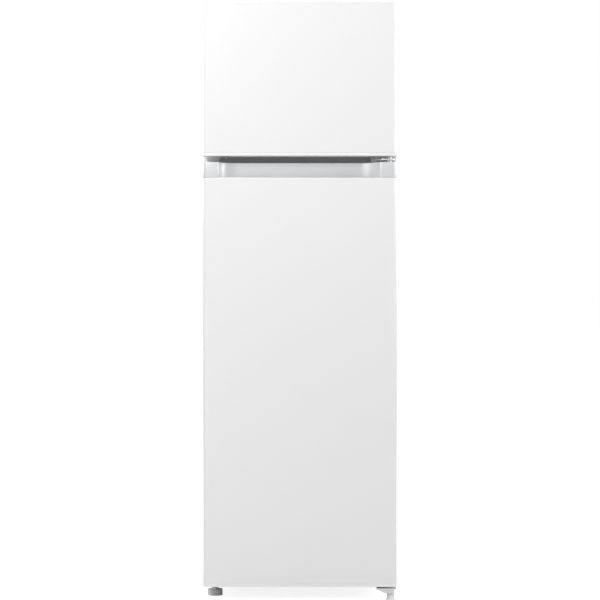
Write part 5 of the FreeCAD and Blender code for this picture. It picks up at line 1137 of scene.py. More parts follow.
@dataclass
class HandleTrim:
    """The silver grip moulding across the lower door: solid ends, a scooped pocket and a finger trench."""

    pocket_left_in: float = 0.041
    pocket_right_in: float = 0.047
    pocket_depth: float = 0.034
    scoop: float = 0.060
    rim: float = 0.009
    corner: float = 0.012
    lip: float = 0.004
    top_round: float = 0.0016
    trench_round: float = 0.006
    shoulder: float = 0.0012
    wall: float = 0.0022

    def __post_init__(self) -> None:
        """Reads the moulding's place from the frame."""
        self.low, self.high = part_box("handle_trim")
        self.front, self.back = self.low[1], self.high[1]
        self.band_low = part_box("fridge_door_skin")[1][2]

    def _side(self, edge_x: float, inward: float, rim: float) -> list[Point2]:
        """One end of the pocket in plan, from the front face to its flat back wall.

        Args:
            edge_x: where the pocket ends.
            inward: +1 at the left end, -1 at the right.
            rim: radius of the rim.

        Returns:
            The path's points.
        """
        reach = math.sqrt(2 * self.scoop * self.pocket_depth - self.pocket_depth ** 2)
        scoop_x, scoop_y = edge_x + inward * reach, self.front + self.pocket_depth - self.scoop
        drop = self.front - scoop_y
        rim_x = scoop_x - inward * math.sqrt((self.scoop + rim) ** 2 - (drop + rim) ** 2)
        lean = math.degrees(math.atan2(self.front + rim - scoop_y, inward * (rim_x - scoop_x)))
        points = [(rim_x, self.front)]
        for x, y in arc_points((0.0, self.front + rim), rim, -90.0, lean - 180.0, 9)[1:]:
            points.append((rim_x + inward * x, y))
        for x, y in arc_points((0.0, scoop_y), self.scoop, lean, 90.0, 20)[1:]:
            points.append((scoop_x + inward * x, y))
        return points

    def _plan(self) -> list[Point2]:
        """The moulding's outline from above, anticlockwise, the pocket scooped out of its front."""
        half = self.high[0]
        left = self._side(-half + self.pocket_left_in, 1.0, self.rim)
        right = self._side(half - self.pocket_right_in, -1.0, self.rim)
        start = rounded_polyline([(-half, self.back), (-half, self.front), left[0]], [self.corner], 12)
        end = rounded_polyline([right[0], (half, self.front), (half, self.back)], [self.corner], 12)
        return start[:-1] + left + right[::-1] + end[1:]

    def _block(self) -> bpy.types.Object:
        """The visible band with its rounded upper and lower edges."""
        plan, r = self._plan(), self.top_round
        rings = [(drawn_in(plan, 0.0007), self.band_low), (drawn_in(plan, 0.00015), self.band_low + 0.0004),
                 (plan, self.band_low + self.shoulder), (plan, self.high[2] - r)]
        for i in range(1, 6):
            turn = math.radians(18 * i)
            rings.append((drawn_in(plan, r * (1 - math.cos(turn))), self.high[2] - r + r * math.sin(turn)))
        return stacked("grip_band", rings, 35.0)

    def _trench(self) -> bpy.types.Object:
        """The finger trench behind the lip, open upwards."""
        half, r = self.high[0], self.trench_round
        face = self.front + self.lip
        ends = ((-half + self.pocket_left_in, 1.0), (half - self.pocket_right_in, -1.0))
        left, right = ([p for p in self._side(edge, inward, 0.0001) if p[1] > face + 0.0005]
                       for edge, inward in ends)
        plan = [(left[0][0] - 0.0003, face)] + left + right[::-1] + [(right[0][0] + 0.0003, face)]
        inner = plan[::-1]
        floor = self.low[2] + self.wall
        rings = [(inner, self.band_low + self.shoulder), (inner, floor + r)]
        for i in range(1, 5):
            turn = math.radians(22.5 * i)
            rings.append((drawn_in(inner, r * (1 - math.cos(turn))), floor + r * (1 - math.sin(turn))))
        count = len(inner)
        points = [(x, y, z) for outline, z in rings for x, y in outline]
        faces = wall_faces(len(rings), count, inward=True)
        faces.append([(len(rings) - 1) * count + i for i in range(count)])
        trench = new_mesh("finger_trench", points, faces, 40.0)
        shell = trench.modifiers.new("wall", "SOLIDIFY")
        shell.thickness, shell.offset = self.wall * 0.8, -1.0
        return settle(trench)

    def _lip(self) -> bpy.types.Object:
        """The rounded edge that fingers hook behind."""
        half = self.high[0]
        low = (-half + self.pocket_left_in + 0.001, self.front + 0.0001, self.band_low - 0.0005)
        high = (half - self.pocket_right_in - 0.001, self.front + self.lip, self.band_low + 0.0013)
        return rounded_bar("grip_lip", low, high, 0.0008)

    def build(self) -> bpy.types.Object:
        """Builds and dresses the moulding."""
        trim = join("grip_moulding", [self._block(), self._trench(), self._lip()], 35.0)
        return dress(trim, SILVER, body_of("handle_trim"), "handle_trim")


@dataclass
class DoorSeal:
    """A magnetic door seal: dart base, folded bellows and a flat magnet face, mitred round the door."""

    node: str
    width: float = 0.018
    corner: float = 0.006

    OUTER_HALF = ((3.0, 0.0), (3.0, 2.6), (5.4, 3.2), (5.0, 4.2), (6.4, 5.2), (5.2, 6.2), (2.2, 6.7),
                  (0.5, 7.3), (0.0, 8.3), (0.0, 10.6), (0.4, 11.3), (1.2, 11.7))

    def build(self) -> bpy.types.Object:
        """Builds and dresses the seal; its section is listed in millimetres inwards and back."""
        low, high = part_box(self.node)
        base, face = low[1], high[1]
        scale = (face - base) / 0.0117
        outer = [(u / 1000, base + d / 1000 * scale) for u, d in self.OUTER_HALF]
        inner = [(self.width - u, d) for u, d in reversed(outer)]
        ring = Ring(high[0], low[2], high[2], self.corner, 0.0)
        rings = [ring.inset(u, d) for u, d in outer + inner]
        shell = LoftedShell(f"{self.node}_bellows", rings + [rings[0]], corner_steps=5, close_last=False,
                            smooth_deg=50.0).build()
        outward(shell)
        shade(shell.data, 50.0)
        return dress(shell, GASKET, body_of(self.node), self.node)


@dataclass
class DoorLiner:
    """The moulded inner face of a door: flange, raised ring with drafted walls, and the bins' bosses."""

    node: str
    ring_half: float
    ring_low: float
    ring_high: float
    boss_levels: Sequence[float]
    flange_high: float | None = None
    ring_wall: float = 0.018
    stand: float = 0.062
    sheet: float = 0.0016
    outer_corner: float = 0.016
    boss_front: float = 0.014
    boss_back: float = 0.046
    boss_height: float = 0.008
    boss_out: float = 0.004

    OUTER_ROOT = ((-0.0030, 0.0), (-0.0012, 0.0004), (-0.0002, 0.0016), (0.0, 0.0034))
    CREST = ((0.0012, 0.0070), (0.0017, 0.0040), (0.0030, 0.0016), (0.0050, 0.0003), (0.0068, 0.0))
    INNER_ROOT = ((0.0, 0.0044), (0.0005, 0.0020), (0.0020, 0.0005), (0.0042, 0.0), (0.0180, 0.0),
                  (0.0195, -0.0003), (0.0210, -0.0009))

    def _rings(self) -> list[Ring]:
        """The liner's rings, from the flange's edge to the flat field inside the raised ring."""
        low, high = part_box(self.node)
        face = high[1] - self.stand
        flange = Ring(high[0], low[2], self.flange_high or high[2], 0.0015, face)
        ring = Ring(self.ring_half, self.ring_low, self.ring_high, self.outer_corner, face)
        w, s = self.ring_wall, self.stand
        section = [*self.OUTER_ROOT, *((u, s - d) for u, d in self.CREST),
                   *((w - u, s - d) for u, d in reversed(self.CREST)),
                   *((w + u, d) for u, d in self.INNER_ROOT)]
        return [flange] + [ring.inset(u, face + d) for u, d in section]

    def build(self) -> bpy.types.Object:
        """Builds and dresses the liner."""
        shell = LoftedShell("liner_sheet", self._rings(), thickness=self.sheet, smooth_deg=50.0)
        pieces = [shell.build(flip=True)]
        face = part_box(self.node)[1][1] - self.stand
        wall_x = self.ring_half - self.ring_wall
        for level in self.boss_levels:
            for side in (-1, 1):
                x0, x1 = sorted((side * (wall_x + 0.001), side * (wall_x - self.boss_out)))
                pieces.append(rounded_bar("boss", (x0, face + self.boss_front, level - self.boss_height),
                                          (x1, face + self.boss_back, level), 0.0012))
        liner = join(f"{self.node}_moulding", pieces, 50.0)
        return dress(liner, LINER, body_of(self.node), self.node)


@dataclass
class FoamCore:
    """The foam inside a door, kept a little inside its skins: a slab, and a core in the raised ring."""

    node: str
    slab_low: float
    slab_high: float
    ring_half: float
    ring_low: float
    ring_high: float
    neck_high: float | None = None
    margin: float = 0.0045
    slab_back: float = -0.2438
    neck_front: float = -0.2625
    overlap: float = 0.004
    ring_wall: float = 0.018
    ring_corner: float = 0.016
    crest_inset: float = 0.006
    chamfer: float = 0.002

    def build(self) -> bpy.types.Object:
        """Builds and dresses the core."""
        low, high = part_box(self.node)
        m, far = self.margin, self.ring_wall - self.margin
        left, right = low[0] + m, high[0] - m
        pieces = [rounded_bar("slab", (left, low[1] + 0.004, self.slab_low),
                              (right, self.slab_back, self.slab_high), 0.006)]
        if self.neck_high:
            pieces.append(rounded_bar("neck", (left, self.neck_front, self.slab_high - self.overlap),
                                      (right, self.slab_back, self.neck_high), 0.004))
        ring = Ring(self.ring_half, self.ring_low, self.ring_high, self.ring_corner, 0.0)
        crest, root = high[1] - self.crest_inset, self.slab_back - self.overlap
        section = [(m, root), (m, crest - 0.004), (m + self.chamfer, crest), (far - self.chamfer, crest),
                   (far, crest - 0.004), (far, root)]
        rings = [ring.inset(u, d) for u, d in section]
        loop = LoftedShell("ring_core", rings + [rings[0]], corner_steps=4, close_last=False).build()
        outward(loop)
        core = join(f"{self.node}_core", pieces + [loop], 40.0)
        return dress(core, FOAM, body_of(self.node), self.node)


@dataclass
class UpperDoor:
    """The freezer door."""

    ring: Point3 = (0.194, 1.27625, 1.592)
    bin_levels: tuple[float, float] = (1.36925, 1.51925)
    foam_levels: tuple[float, float] = (1.272, 1.640)
    hinge_recess: Point3 = (0.230, -0.295, 1.657)

    def build(self) -> None:
        """Builds the door's pan, caps, liner, seal and bins; the ring is its half width, low and high."""
        DoorPan("freezer_door_skin", notch=self.hinge_recess).build()
        build_softened([
            SoftenedPart("freezer_door_top_cap", TRIM_WHITE, 0.0012, 3),
            SoftenedPart("freezer_door_bottom_cap", TRIM_WHITE, 0.0012, 3),
            SoftenedPart("freezer_door_bins", CLEAR)])
        DoorLiner("freezer_door_liner", *self.ring, self.bin_levels, flange_high=self.hinge_recess[2]).build()
        DoorSeal("freezer_door_gasket").build()
        FoamCore("freezer_door_foam", *self.foam_levels, *self.ring).build()


@dataclass
class LowerDoor:
    """The refrigerator door with the grip moulding across its top."""

    ring: Point3 = (0.208, 0.102, 1.18425)
    boss_levels: tuple[float, ...] = (0.627, 0.867, 0.267, 1.023)
    foam_levels: tuple[float, float] = (0.066, 1.143)
    foam_neck: float = 1.172

    def build(self) -> None:
        """Builds the door's pan, grip, cap, liner, seal, bins and flap; the ring is as on the upper door."""
        DoorPan("fridge_door_skin").build()
        HandleTrim().build()
        build_softened([
            SoftenedPart("fridge_door_bottom_cap", TRIM_WHITE, 0.0012, 3),
            SoftenedPart("fridge_door_bins", CLEAR),
            SoftenedPart("bottle_bin", CLEAR),
            SoftenedPart("dairy_bin", CLEAR),
            SoftenedPart("dairy_flap", CLEAR, 0.0005)])
        DoorLiner("fridge_door_liner", *self.ring, self.boss_levels).build()
        DoorSeal("fridge_door_gasket").build()
        FoamCore("fridge_door_foam", *self.foam_levels, *self.ring, neck_high=self.foam_neck).build()


# ---- cabinet -------------------------------------------------------------------------------------------
@dataclass
class CavityLiner:
    """A compartment's moulded wall: rounded mouth, shelf ledges on both sides, and a step over the bay."""

    node: str
    half: float
    floor: float
    ceiling: float
    back: float
    ledges: Sequence[float]
    step_front: float | None = None
    step_low: float = 0.234
    step_top: float = 0.294
    step_top_front: float = 0.088
    corner: float = 0.014
    ledge_out: float = 0.009
    ledge_front: float = -0.122
    sheet: float = 0.0016

    LEDGE_SHAPE = ((0.0, -8.0), (0.15, -6.8), (0.85, -5.6), (1.0, -4.6), (1.0, -1.2), (0.88, -0.3),
                   (0.6, 0.0), (0.0, 0.0))
    MOUTH = ((0.0, 0.0045), (0.0006, 0.0022), (0.0020, 0.0006), (0.0042, 0.0))
    LEDGE_START = ((-0.0005, 0.0), (0.0005, 0.6), (0.0030, 0.92), (0.0075, 1.0))
    STEP_FOOT = ((-0.009, 0.0), (-0.0035, 0.0014), (-0.0007, 0.005), (0.0, 0.010))
    STEP_EDGE = ((0.0, -0.006), (0.0012, -0.001), (0.0045, 0.0055))
    STEP_TOP = ((-0.005, -0.0055), (-0.0005, -0.0012), (0.0060, 0.0))
    BACK_ROUND = ((0.012, 0.0), (0.0070, 0.0010), (0.0030, 0.0038), (0.0008, 0.0078), (0.0, 0.012))

    def _outline(self, half: float, floor: float, ceiling: float, radius: float, out: float) -> list[Point2]:
        """One ring of the wall in X-Z, anticlockwise from the lower right corner.

        Args:
            half: half its width.
            floor: its lowest height.
            ceiling: its highest height.
            radius: its corners' radius.
            out: how far the ledges stand out here.

        Returns:
            The ring's points, the same number for any size.
        """
        right = arc_points((half - radius, floor + radius), radius, -90, 0, 6)
        lowest, highest = floor + radius, ceiling - radius
        for level in self.ledges:
            right += [(half - share * out, min(max(level + dz / 1000, lowest), highest))
                      for share, dz in self.LEDGE_SHAPE]
        right += arc_points((half - radius, ceiling - radius), radius, 0, 90, 6)
        return right + [(-x, z) for x, z in reversed(right)]

    def _sections(self) -> list[tuple[float, float, float, float]]:
        """The wall's rings from the mouth to the back.

        Returns:
            Place along Y, outset, floor and ledge depth of each ring.
        """
        mouth, floor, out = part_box(self.node)[0][1], self.floor, self.ledge_out
        rows = [(mouth + dy, outset, floor, 0.0) for dy, outset in self.MOUTH]
        rows += [(self.ledge_front + dy, 0.0, floor, out * share) for dy, share in self.LEDGE_START]
        if self.step_front is not None:
            for table, y, z in ((self.STEP_FOOT, self.step_front, floor),
                                (self.STEP_EDGE, self.step_front, self.step_low),
                                (self.STEP_TOP, self.step_top_front, self.step_top)):
                rows += [(y + dy, 0.0, z + dz, out) for dy, dz in table]
            floor = self.step_top
        return rows + [(self.back - depth, -inset, floor, out * (1 - inset / 0.02))
                       for depth, inset in self.BACK_ROUND]

    def build(self) -> bpy.types.Object:
        """Builds and dresses the wall."""
        low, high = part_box(self.node)
        flange_half = high[0]
        rings = [(self._outline(flange_half, low[2], high[2], 0.0015, 0.0), low[1])]
        for y, outset, floor, out in self._sections():
            ring = self._outline(self.half + outset, floor - outset, self.ceiling + outset, self.corner, out)
            rings.append((ring, y))
        count = len(rings[0][0])
        points = [(x, y, z) for outline, y in rings for x, z in outline]
        faces = wall_faces(len(rings), count, inward=True)
        last = (len(rings) - 1) * count
        faces.append([last + i for i in range(count)][::-1])
        liner = new_mesh(f"{self.node}_moulding", points, faces, 50.0)
        with reworked(liner.data, 2e-5) as work:
            bmesh.ops.dissolve_degenerate(work, edges=work.edges, dist=1e-5)
        shell = liner.modifiers.new("sheet", "SOLIDIFY")
        shell.thickness, shell.offset = self.sheet, -1.0
        liner = settle(liner)
        shade(liner.data, 50.0)
        return dress(liner, LINER, body_of(self.node), self.node)


@dataclass
class Cabinet:
    """The painted body with its two moulded compartments."""

    ledge_pitch: float = 0.070
    first_ledge: float = 0.360
    ledge_count: int = 11
    crisper_ledge: float = 0.296
    freezer_ledge: float = 1.430

    def build(self) -> None:
        """Builds the body's shell, rails, liners and back."""
        build_softened([
            SoftenedPart("cabinet_shell", ENAMEL, 0.00035),
            # painted shade: the rail's grey stands in for the shadow in the gap between the doors
            SoftenedPart("mullion_rail", RAIL_PAINTED_SHADE, 0.0003),
            SoftenedPart("bottom_panel", ZINC, 0.0004),
            SoftenedPart("back_panel", ZINC, 0.0),
            SoftenedPart("bay_bulkhead", ZINC, 0.0003)])
        levels = [self.crisper_ledge]
        levels += [self.first_ledge + i * self.ledge_pitch for i in range(self.ledge_count)]
        CavityLiner("fridge_liner", 0.225, 0.094, 1.19225, 0.212, levels, step_front=0.048).build()
        CavityLiner("freezer_liner", 0.210, 1.26825, 1.600, 0.202, [self.freezer_ledge]).build()
        kept(FOAM, "insulation_foam")
        kept(ALLOY, "evaporators")


@dataclass
class Screw:
    """A pan-head screw with a cross recess, drawn once for Geometry Nodes to set."""

    head_r: float
    head_h: float
    shank_r: float
    shank_l: float
    arm: float = 0.56
    slot: float = 0.17
    cross_depth: float = 0.45
    cross_taper: float = 0.8

    SIDES = 32
    HEAD = ((1.0, 0.0), (1.0, 0.42), (0.93, 0.68), (0.78, 0.88), (0.62, 0.97))

    def pattern(self) -> bpy.types.Object:
        """The screw, its under-head face at the origin and its axis along +Z."""
        steps = self.SIDES
        circle = [(math.cos(2 * math.pi * i / steps), math.sin(2 * math.pi * i / steps)) for i in range(steps)]
        points = [(self.head_r * share * x, self.head_r * share * y, self.head_h * rise)
                  for share, rise in self.HEAD for x, y in circle]
        faces = wall_faces(len(self.HEAD), steps)
        top = (len(self.HEAD) - 1) * steps
        cross, floor = [], []
        for quarter in range(4):
            turn = math.pi / 2 * quarter
            for u, v in ((self.arm, -self.slot), (self.arm, self.slot), (self.slot, self.slot)):
                x, y = u * math.cos(turn) - v * math.sin(turn), u * math.sin(turn) + v * math.cos(turn)
                cross.append((x * self.head_r, y * self.head_r, self.head_h))
                floor.append((x * self.head_r * self.cross_taper, y * self.head_r * self.cross_taper,
                              self.head_h * self.cross_depth))
        start = len(points)
        points += cross + floor
        count = len(cross)
        for quarter in range(4):
            rim = [top + (quarter * 8 + k + 28) % steps for k in range(9)]
            a, b, c = (start + quarter * 3 + k for k in range(3))
            d = start + ((quarter + 1) * 3) % count
            faces.append([rim[3], rim[4], rim[5], b, a])
            faces.append([rim[5], rim[6], rim[7], c, b])
            onward = [top + (quarter * 8 + 28 + k) % steps for k in (9, 10, 11)]
            faces.append([rim[7], rim[8]] + onward + [d, c])
        for i in range(count):
            j = (i + 1) % count
            faces.append([start + i, start + j, start + count + j, start + count + i])
        faces.append([start + count + i for i in range(count)])
        low = len(points)
        for depth in (0.0, -self.shank_l):
            points += [(self.shank_r * x, self.shank_r * y, depth) for x, y in circle]
        for i in range(steps):
            j = (i + 1) % steps
            faces.append([j, i, low + i, low + j])
            faces.append([low + j, low + i, low + steps + i, low + steps + j])
        faces.append([low + steps + i for i in range(steps)][::-1])
        obj = new_mesh("screw_pattern", points, faces, 30.0)
        outward(obj)
        return obj


@dataclass
class Fixings:
    """Hinges, their screws, the covers over them and the plugs in the unused holes."""

    axis_x: float = 0.250
    plate: float = 0.0035
    flange: float = 0.0025
    bolt_inset: float = 0.009

    TOP_PLACES = ((0.050, -0.166), (0.050, -0.196), (0.0, -0.166))
    FACE_COLUMNS = (0.042, 0.020)
    FACE_HEIGHTS = (1.22125, 1.23925, 0.050, 0.059)

    def _screw_spots(self) -> list[tuple[Point3, Point3]]:
        """Every hinge screw's seat and outward direction."""
        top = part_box("cabinet_shell")[1][2] + self.plate
        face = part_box("cabinet_shell")[0][1] - self.flange
        spots = [((self.axis_x - x, y, top), (0.0, 0.0, 1.0)) for x, y in self.TOP_PLACES]
        return spots + [((self.axis_x - x, face, z), (0.0, -1.0, 0.0))
                        for x in self.FACE_COLUMNS for z in self.FACE_HEIGHTS]

    def build(self) -> None:
        """Builds the hinges and everything fixed with them."""
        build_softened([
            SoftenedPart("top_hinge", HINGE_STEEL, 0.0005),
            SoftenedPart("mid_hinge", HINGE_STEEL, 0.0005),
            SoftenedPart("bottom_hinge", HINGE_STEEL, 0.0005),
            SoftenedPart("top_hinge_cover", TRIM_WHITE, 0.0004),
            SoftenedPart("hinge_hole_plugs", TRIM_WHITE, 0.0004)])
        small = Screw(head_r=0.0036, head_h=0.0022, shank_r=0.0019, shank_l=0.008)
        hinge_screws = set_pieces("hinge_screws", small.pattern(), self._screw_spots(), ZINC)
        near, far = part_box("compressor_grommets")
        inset, tip = self.bolt_inset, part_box("cabinet_screws")[0][2]
        bolts = [((x, y, far[2]), (0.0, 0.0, 1.0)) for x in (near[0] + inset, far[0] - inset)
                 for y in (near[1] + inset, far[1] - inset)]
        large = Screw(head_r=0.007, head_h=0.004, shank_r=0.0039, shank_l=far[2] - tip)
        base_bolts = set_pieces("compressor_bolts", large.pattern(), bolts, ZINC)
        dress(join("fixing_screws", [hinge_screws, base_bolts], 30.0), ZINC, "cabinet", "cabinet_screws")


@dataclass
class RearCoil:
    """The wire-on-tube condenser and its stand-offs."""

    tube_r: float = 0.0024
    wire_r: float = 0.00075
    bend: float = 0.015
    runs: int = 22
    wires_a_side: int = 28
    tail: float = 0.040

    def _route(self) -> list[Point3]:
        """The serpentine's centre line, from one tail to the other."""
        low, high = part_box("condenser_tube")
        half, tail_x = -low[0] - self.tube_r, high[0] - self.tube_r
        y = (low[1] + high[1]) / 2
        first, last = low[2] + self.tail, high[2] - self.tube_r
        pitch = (last - first) / (self.runs - 1)
        route = [(half, y, low[2])]
        for i in range(self.runs):
            side = half if i % 2 == 0 else -half
            route += [(side, y, first + i * pitch), (-side, y, first + i * pitch)]
        route[-1] = (tail_x, y, last)
        return route + [(tail_x, y, low[2])]

    def _wires(self) -> bpy.types.Object:
        """Both rows of upright wires."""
        low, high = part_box("condenser_wires")
        gaps = self.wires_a_side - 1
        span = (high[0] - low[0] - 2 * self.wire_r) * 2 * gaps / (2 * gaps + 1)
        pitch = span / gaps
        rows = []
        for side, y in ((-1, low[1] + self.wire_r), (1, high[1] - self.wire_r)):
            start = (-span / 2 + side * pitch / 4, y, low[2])
            rows.append(RodRow(f"wire_row_{side}", self.wires_a_side, start, (pitch, 0.0, 0.0),
                               (0.0, 0.0, high[2] - low[2]), self.wire_r).build(BLACK_STEEL))
        return join("condenser_wire_rows", rows, 50.0)

    def build(self) -> None:
        """Builds the coil."""
        build_softened([SoftenedPart("condenser_brackets", BLACK_PLASTIC, 0.0007)])
        serpentine = round_bar_along("condenser_serpentine", self._route(), self.tube_r, self.bend)
        dress(serpentine, BLACK_STEEL, "cabinet", "condenser_tube")
        dress(self._wires(), BLACK_STEEL, "cabinet", "condenser_wires")


@dataclass
class WireShelf:
    """The freezer's coated wire shelf: a bent frame, two cross rods and the close bars."""

    frame_r: float = 0.003
    cross_r: float = 0.0025
    bar_r: float = 0.002
    bars: int = 22
    bar_rise: float = 0.0015
    side_space: float = 0.020

    def build(self) -> None:
        """Builds the shelf."""
        low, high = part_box("freezer_shelf")
        half, z = high[0] - self.frame_r, low[2] + self.frame_r
        front, back = low[1] + self.frame_r, high[1] - self.frame_r
        corners = ((0.0, front), (half, front), (half, back), (-half, back), (-half, front), (0.0, front))
        route = [(x, y, z) for x, y in corners]
        pieces = [round_bar_along("shelf_frame", route, self.frame_r, 0.014)]
        depth = back - front
        pieces.append(RodRow("shelf_cross_rods", 2, (-half, front + 0.3 * depth, z), (0.0, 0.4 * depth, 0.0),
                             (2 * half, 0.0, 0.0), self.cross_r, 12).build(WIRE_WHITE))
        reach = half - self.side_space
        pitch = 2 * reach / (self.bars - 1)
        pieces.append(RodRow("shelf_bars", self.bars, (-reach, front, z + self.bar_rise), (pitch, 0.0, 0.0),
                             (0.0, depth, 0.0), self.bar_r, 12).build(WIRE_WHITE))
        dress(join("freezer_wire_shelf", pieces, 50.0), WIRE_WHITE, "cabinet", "freezer_shelf")


@dataclass
class DialScale:
    """The printed marks round the thermostat knob and the ribs under the lamp's lens."""

    settings: int = 7
    first_deg: float = 200.0
    last_deg: float = -20.0
    tick_r: float = 0.0225
    number_r: float = 0.0300
    number_size: float = 0.0062
    print_t: float = 0.00006
    tick_flatness: float = 0.16
    lens_ribs: int = 24
    lens_margin: float = 0.008

    def _number(self, value: int, x: float, y: float, z: float) -> bpy.types.Object:
        """One number, face down, its top towards the door.

        Args:
            value: the number.
            x: its middle along X.
            y: its middle along Y.
            z: the height of the face it is printed on.

        Returns:
            The number as a mesh object.
        """
        curve = bpy.data.curves.new("dial_number", "FONT")
        curve.body, curve.size, curve.extrude = str(value), self.number_size, self.print_t
        curve.align_x, curve.align_y = "CENTER", "CENTER"
        text = linked(f"dial_number_{value}", curve)
        bpy.context.view_layer.update()
        mesh = bpy.data.meshes.new_from_object(text)
        bpy.data.objects.remove(text)
        mesh.transform(Matrix.Translation((x, y, z)) @ Matrix.Rotation(math.pi, 4, "X"))
        return linked(f"dial_number_{value}", mesh)

    def build(self) -> None:
        """Builds the dial's marks and the lens's ribs."""
        low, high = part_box("thermostat_knob")
        x, y = (low[0] + high[0]) / 2, (low[1] + high[1]) / 2
        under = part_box("control_housing")[0][2]
        spots, pieces = [], []
        for i in range(self.settings):
            turn = math.radians(self.first_deg + (self.last_deg - self.first_deg) * i / (self.settings - 1))
            away = (math.cos(turn), -math.sin(turn), 0.0)
            spots.append(((x + away[0] * self.tick_r, y + away[1] * self.tick_r, under), away))
            pieces.append(self._number(i, x + away[0] * self.number_r, y + away[1] * self.number_r, under))
        tick = rounded_bar("dial_tick_pattern", (-0.0004, -0.0004, 0.0), (0.0004, 0.0004, 0.0032), 0.0001, 1)
        ticks = set_pieces("dial_ticks", tick, spots, DIAL_PRINT)
        flatten = Matrix.Scale(self.tick_flatness, 4, (0.0, 0.0, 1.0))
        ticks.data.transform(Matrix.Translation((0.0, 0.0, under)) @ flatten
                             @ Matrix.Translation((0.0, 0.0, -under)))
        dress(join("dial_marks", [ticks] + pieces, 30.0), DIAL_PRINT, "cabinet")
        low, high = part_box("lamp_lens")
        margin = self.lens_margin
        pitch = (high[1] - low[1] - 2 * margin) / (self.lens_ribs - 1)
        ribs = RodRow("lens_ribs", self.lens_ribs, (low[0] + margin, low[1] + margin, low[2] + 0.0002),
                      (0.0, pitch, 0.0), (high[0] - low[0] - 2 * margin, 0.0, 0.0), 0.0006).build(LENS)
        dress(ribs, LENS, "cabinet")


@dataclass
class Machinery:
    """The compressor bay's contents."""

    def build(self) -> None:
        """Builds the bay's pieces."""
        build_softened([
            SoftenedPart("compressor_base", ZINC, 0.0005),
            SoftenedPart("compressor", BLACK_STEEL, 0.0010, 3, 35.0, 0.2),
            SoftenedPart("compressor_grommets", BLACK_RUBBER),
            SoftenedPart("starter_box", BLACK_PLASTIC, 0.0010, 3),
            SoftenedPart("filter_drier", COPPER, 0.0004),
            SoftenedPart("evaporating_tray", BLACK_PLASTIC),
            SoftenedPart("drain_tube", DRAIN_WHITE, 0.0003)])
        kept(COPPER, "refrigerant_lines")


@dataclass
class Undercarriage:
    """Feet and transport rollers."""

    def build(self) -> None:
        """Builds the feet and rollers."""
        build_softened([
            SoftenedPart("left_foot", FOOT_GREY, 0.0004),
            SoftenedPart("right_foot", FOOT_GREY),
            SoftenedPart("left_roller", ROLLER_BLACK, 0.0003),
            SoftenedPart("right_roller", ROLLER_BLACK, 0.0003),
            SoftenedPart("roller_brackets", ZINC, 0.0003)])


@dataclass
class Interior:
    """Shelves, crisper, wire shelf, control housing and lamp."""

    def build(self) -> None:
        """Builds the inner fittings."""
        build_softened([
            SoftenedPart("control_housing", INNER_WHITE),
            SoftenedPart("lamp_lens", LENS, 0.0003),
            SoftenedPart("lamp_and_thermostat", INNER_WHITE, 0.0005),
            SoftenedPart("thermostat_knob", INNER_WHITE, 0.0005),
            SoftenedPart("light_switch_plunger", INNER_WHITE, 0.0002),
            SoftenedPart("shelf_trims", INNER_WHITE),
            SoftenedPart("crisper_drawer", CLEAR)])
        build_softened(SoftenedPart(node, GLASS, 0.0009, 3) for node in (
            "glass_shelf_upper", "glass_shelf_middle", "glass_shelf_lower", "crisper_glass"))
        WireShelf().build()
        DialScale().build()


# ---- studio --------------------------------------------------------------------------------------------
@dataclass
class Softbox:
    """A rectangular light that faces a target."""

    name: str
    place: Point3
    target: Point3
    width: float
    height: float
    power: float
    colour: Colour = (1.0, 1.0, 1.0)

    def build(self) -> None:
        """Builds the light."""
        lamp = bpy.data.lights.new(self.name, "AREA")
        lamp.shape = "RECTANGLE"
        lamp.size, lamp.size_y = self.width, self.height
        lamp.energy = self.power
        lamp.color = self.colour
        obj = linked(self.name, lamp)
        obj.location = self.place
        obj.rotation_euler = (Vector(self.target) - Vector(self.place)).to_track_quat("-Z", "Y").to_euler()


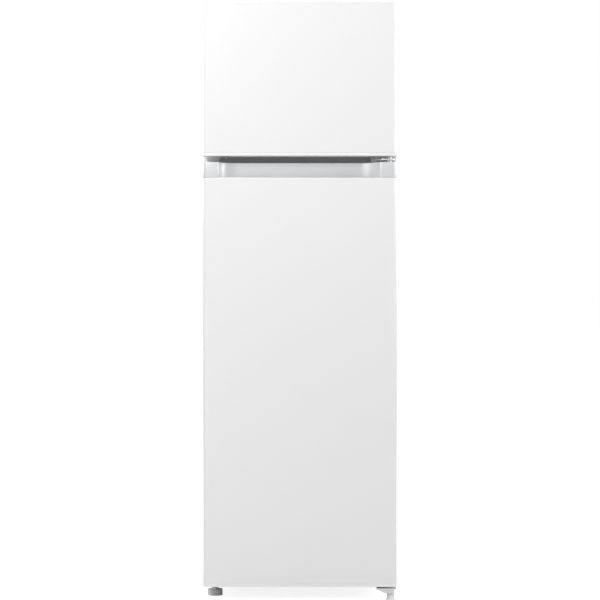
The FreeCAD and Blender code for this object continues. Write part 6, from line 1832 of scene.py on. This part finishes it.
@dataclass
class Studio:
    """The pale floor, the soft lights, the white surround and the camera."""

    eye: Point3 = (0.0, -5.368, 0.8373)
    lens: float = 109.2
    ambient: float = 0.46
    floor_glow: float = 0.86
    floor_reach: float = 40.0

    def build(self) -> None:
        """Builds everything round the object."""
        self._floor()
        self._surround()
        for box in (
                Softbox("key_upper_left", (-1.3, -2.6, 2.65), (-0.1, -0.3, 1.45), 1.3, 1.3, 52.5),
                Softbox("right_side", (2.9, -0.72, 2.0), (0.0, -0.3, 1.4), 1.0, 1.6, 40.0),
                Softbox("front_left", (-1.7, -4.2, 0.42), (-0.1, -0.3, 0.45), 1.2, 0.8, 11.0),
                Softbox("overhead", (0.0, -0.2, 4.2), (0.0, 0.0, 0.8), 3.6, 3.6, 14.0),
                Softbox("rear_left", (-2.8, 3.0, 2.4), (0.0, 0.2, 0.8), 2.0, 2.4, 60.0),
                Softbox("rear_right", (3.0, 2.6, 2.0), (0.0, 0.2, 0.8), 1.6, 2.4, 40.0)):
            box.build()
        self._camera()

    def _floor(self) -> None:
        """A wide plain floor."""
        r = self.floor_reach
        corners = [(-r, -r, 0.0), (r, -r, 0.0), (r, r, 0.0), (-r, r, 0.0)]
        floor = new_mesh("studio_floor", corners, [[0, 1, 2, 3]])
        material = STUDIO_WHITE.material()
        self._lift(material)
        floor.data.materials.append(material)

    @staticmethod
    def _seen_and_lit(tree: Tree, lit: Socket, seen: Socket, out: Node) -> None:
        """Ends a tree with one shader for the eye and another for the light it sends out.

        Args:
            tree: the tree to end.
            lit: the shader that lights other things.
            seen: the shader that is looked at.
            out: the tree's output node.
        """
        path, choose = tree.nodes.new("ShaderNodeLightPath"), tree.nodes.new("ShaderNodeMixShader")
        tree.links.new(path.outputs["Is Camera Ray"], choose.inputs["Fac"])
        tree.links.new(lit, choose.inputs[1])
        tree.links.new(seen, choose.inputs[2])
        tree.links.new(choose.outputs[0], out.inputs["Surface"])

    def _lift(self, material: bpy.types.Material) -> None:
        """Lifts the floor towards white, so that only a soft contact shadow is left on it."""
        tree = material.node_tree
        lit, out = tree.nodes["Principled BSDF"], tree.nodes["Material Output"]
        glow = tree.nodes.new("ShaderNodeEmission")
        glow.inputs["Strength"].default_value = self.floor_glow
        both = tree.nodes.new("ShaderNodeAddShader")
        tree.links.new(lit.outputs[0], both.inputs[0])
        tree.links.new(glow.outputs[0], both.inputs[1])
        self._seen_and_lit(tree, lit.outputs[0], both.outputs[0], out)

    def _surround(self) -> None:
        """A plain white surround that lights softly and shows as white."""
        world = bpy.data.worlds.new("surround")
        bpy.context.scene.world = world
        world.use_nodes = True
        tree = world.node_tree
        tree.nodes.clear()
        out = tree.nodes.new("ShaderNodeOutputWorld")
        seen, lit = (tree.nodes.new("ShaderNodeBackground") for _ in range(2))
        for shader, strength in ((seen, 1.0), (lit, self.ambient)):
            shader.inputs["Color"].default_value = (1.0, 1.0, 1.0, 1.0)
            shader.inputs["Strength"].default_value = strength
        self._seen_and_lit(tree, lit.outputs[0], seen.outputs[0], out)

    def _camera(self) -> None:
        """A long lens, level with the middle of the cabinet and square to the doors."""
        data = bpy.data.cameras.new("camera")
        data.sensor_width, data.lens = 36.0, self.lens
        data.clip_end = 200.0
        camera = linked("camera", data)
        camera.location = self.eye
        camera.rotation_euler = (math.radians(90), 0.0, 0.0)
        bpy.context.scene.camera = camera
        bpy.context.scene.view_settings.view_transform = "Standard"


def main() -> None:
    """Builds every sub-assembly in order, logging each one's name as it starts."""
    logging.basicConfig(level=logging.INFO, format="%(name)s %(message)s")
    EFFECTS.build()
    for assembly in (Cabinet(), RearCoil(), Machinery(), Undercarriage(), Fixings(), Interior(), UpperDoor(),
                     LowerDoor(), Studio()):
        LOG.info("building %s", type(assembly).__name__)
        assembly.build()


if __name__ == "__main__":
    main()
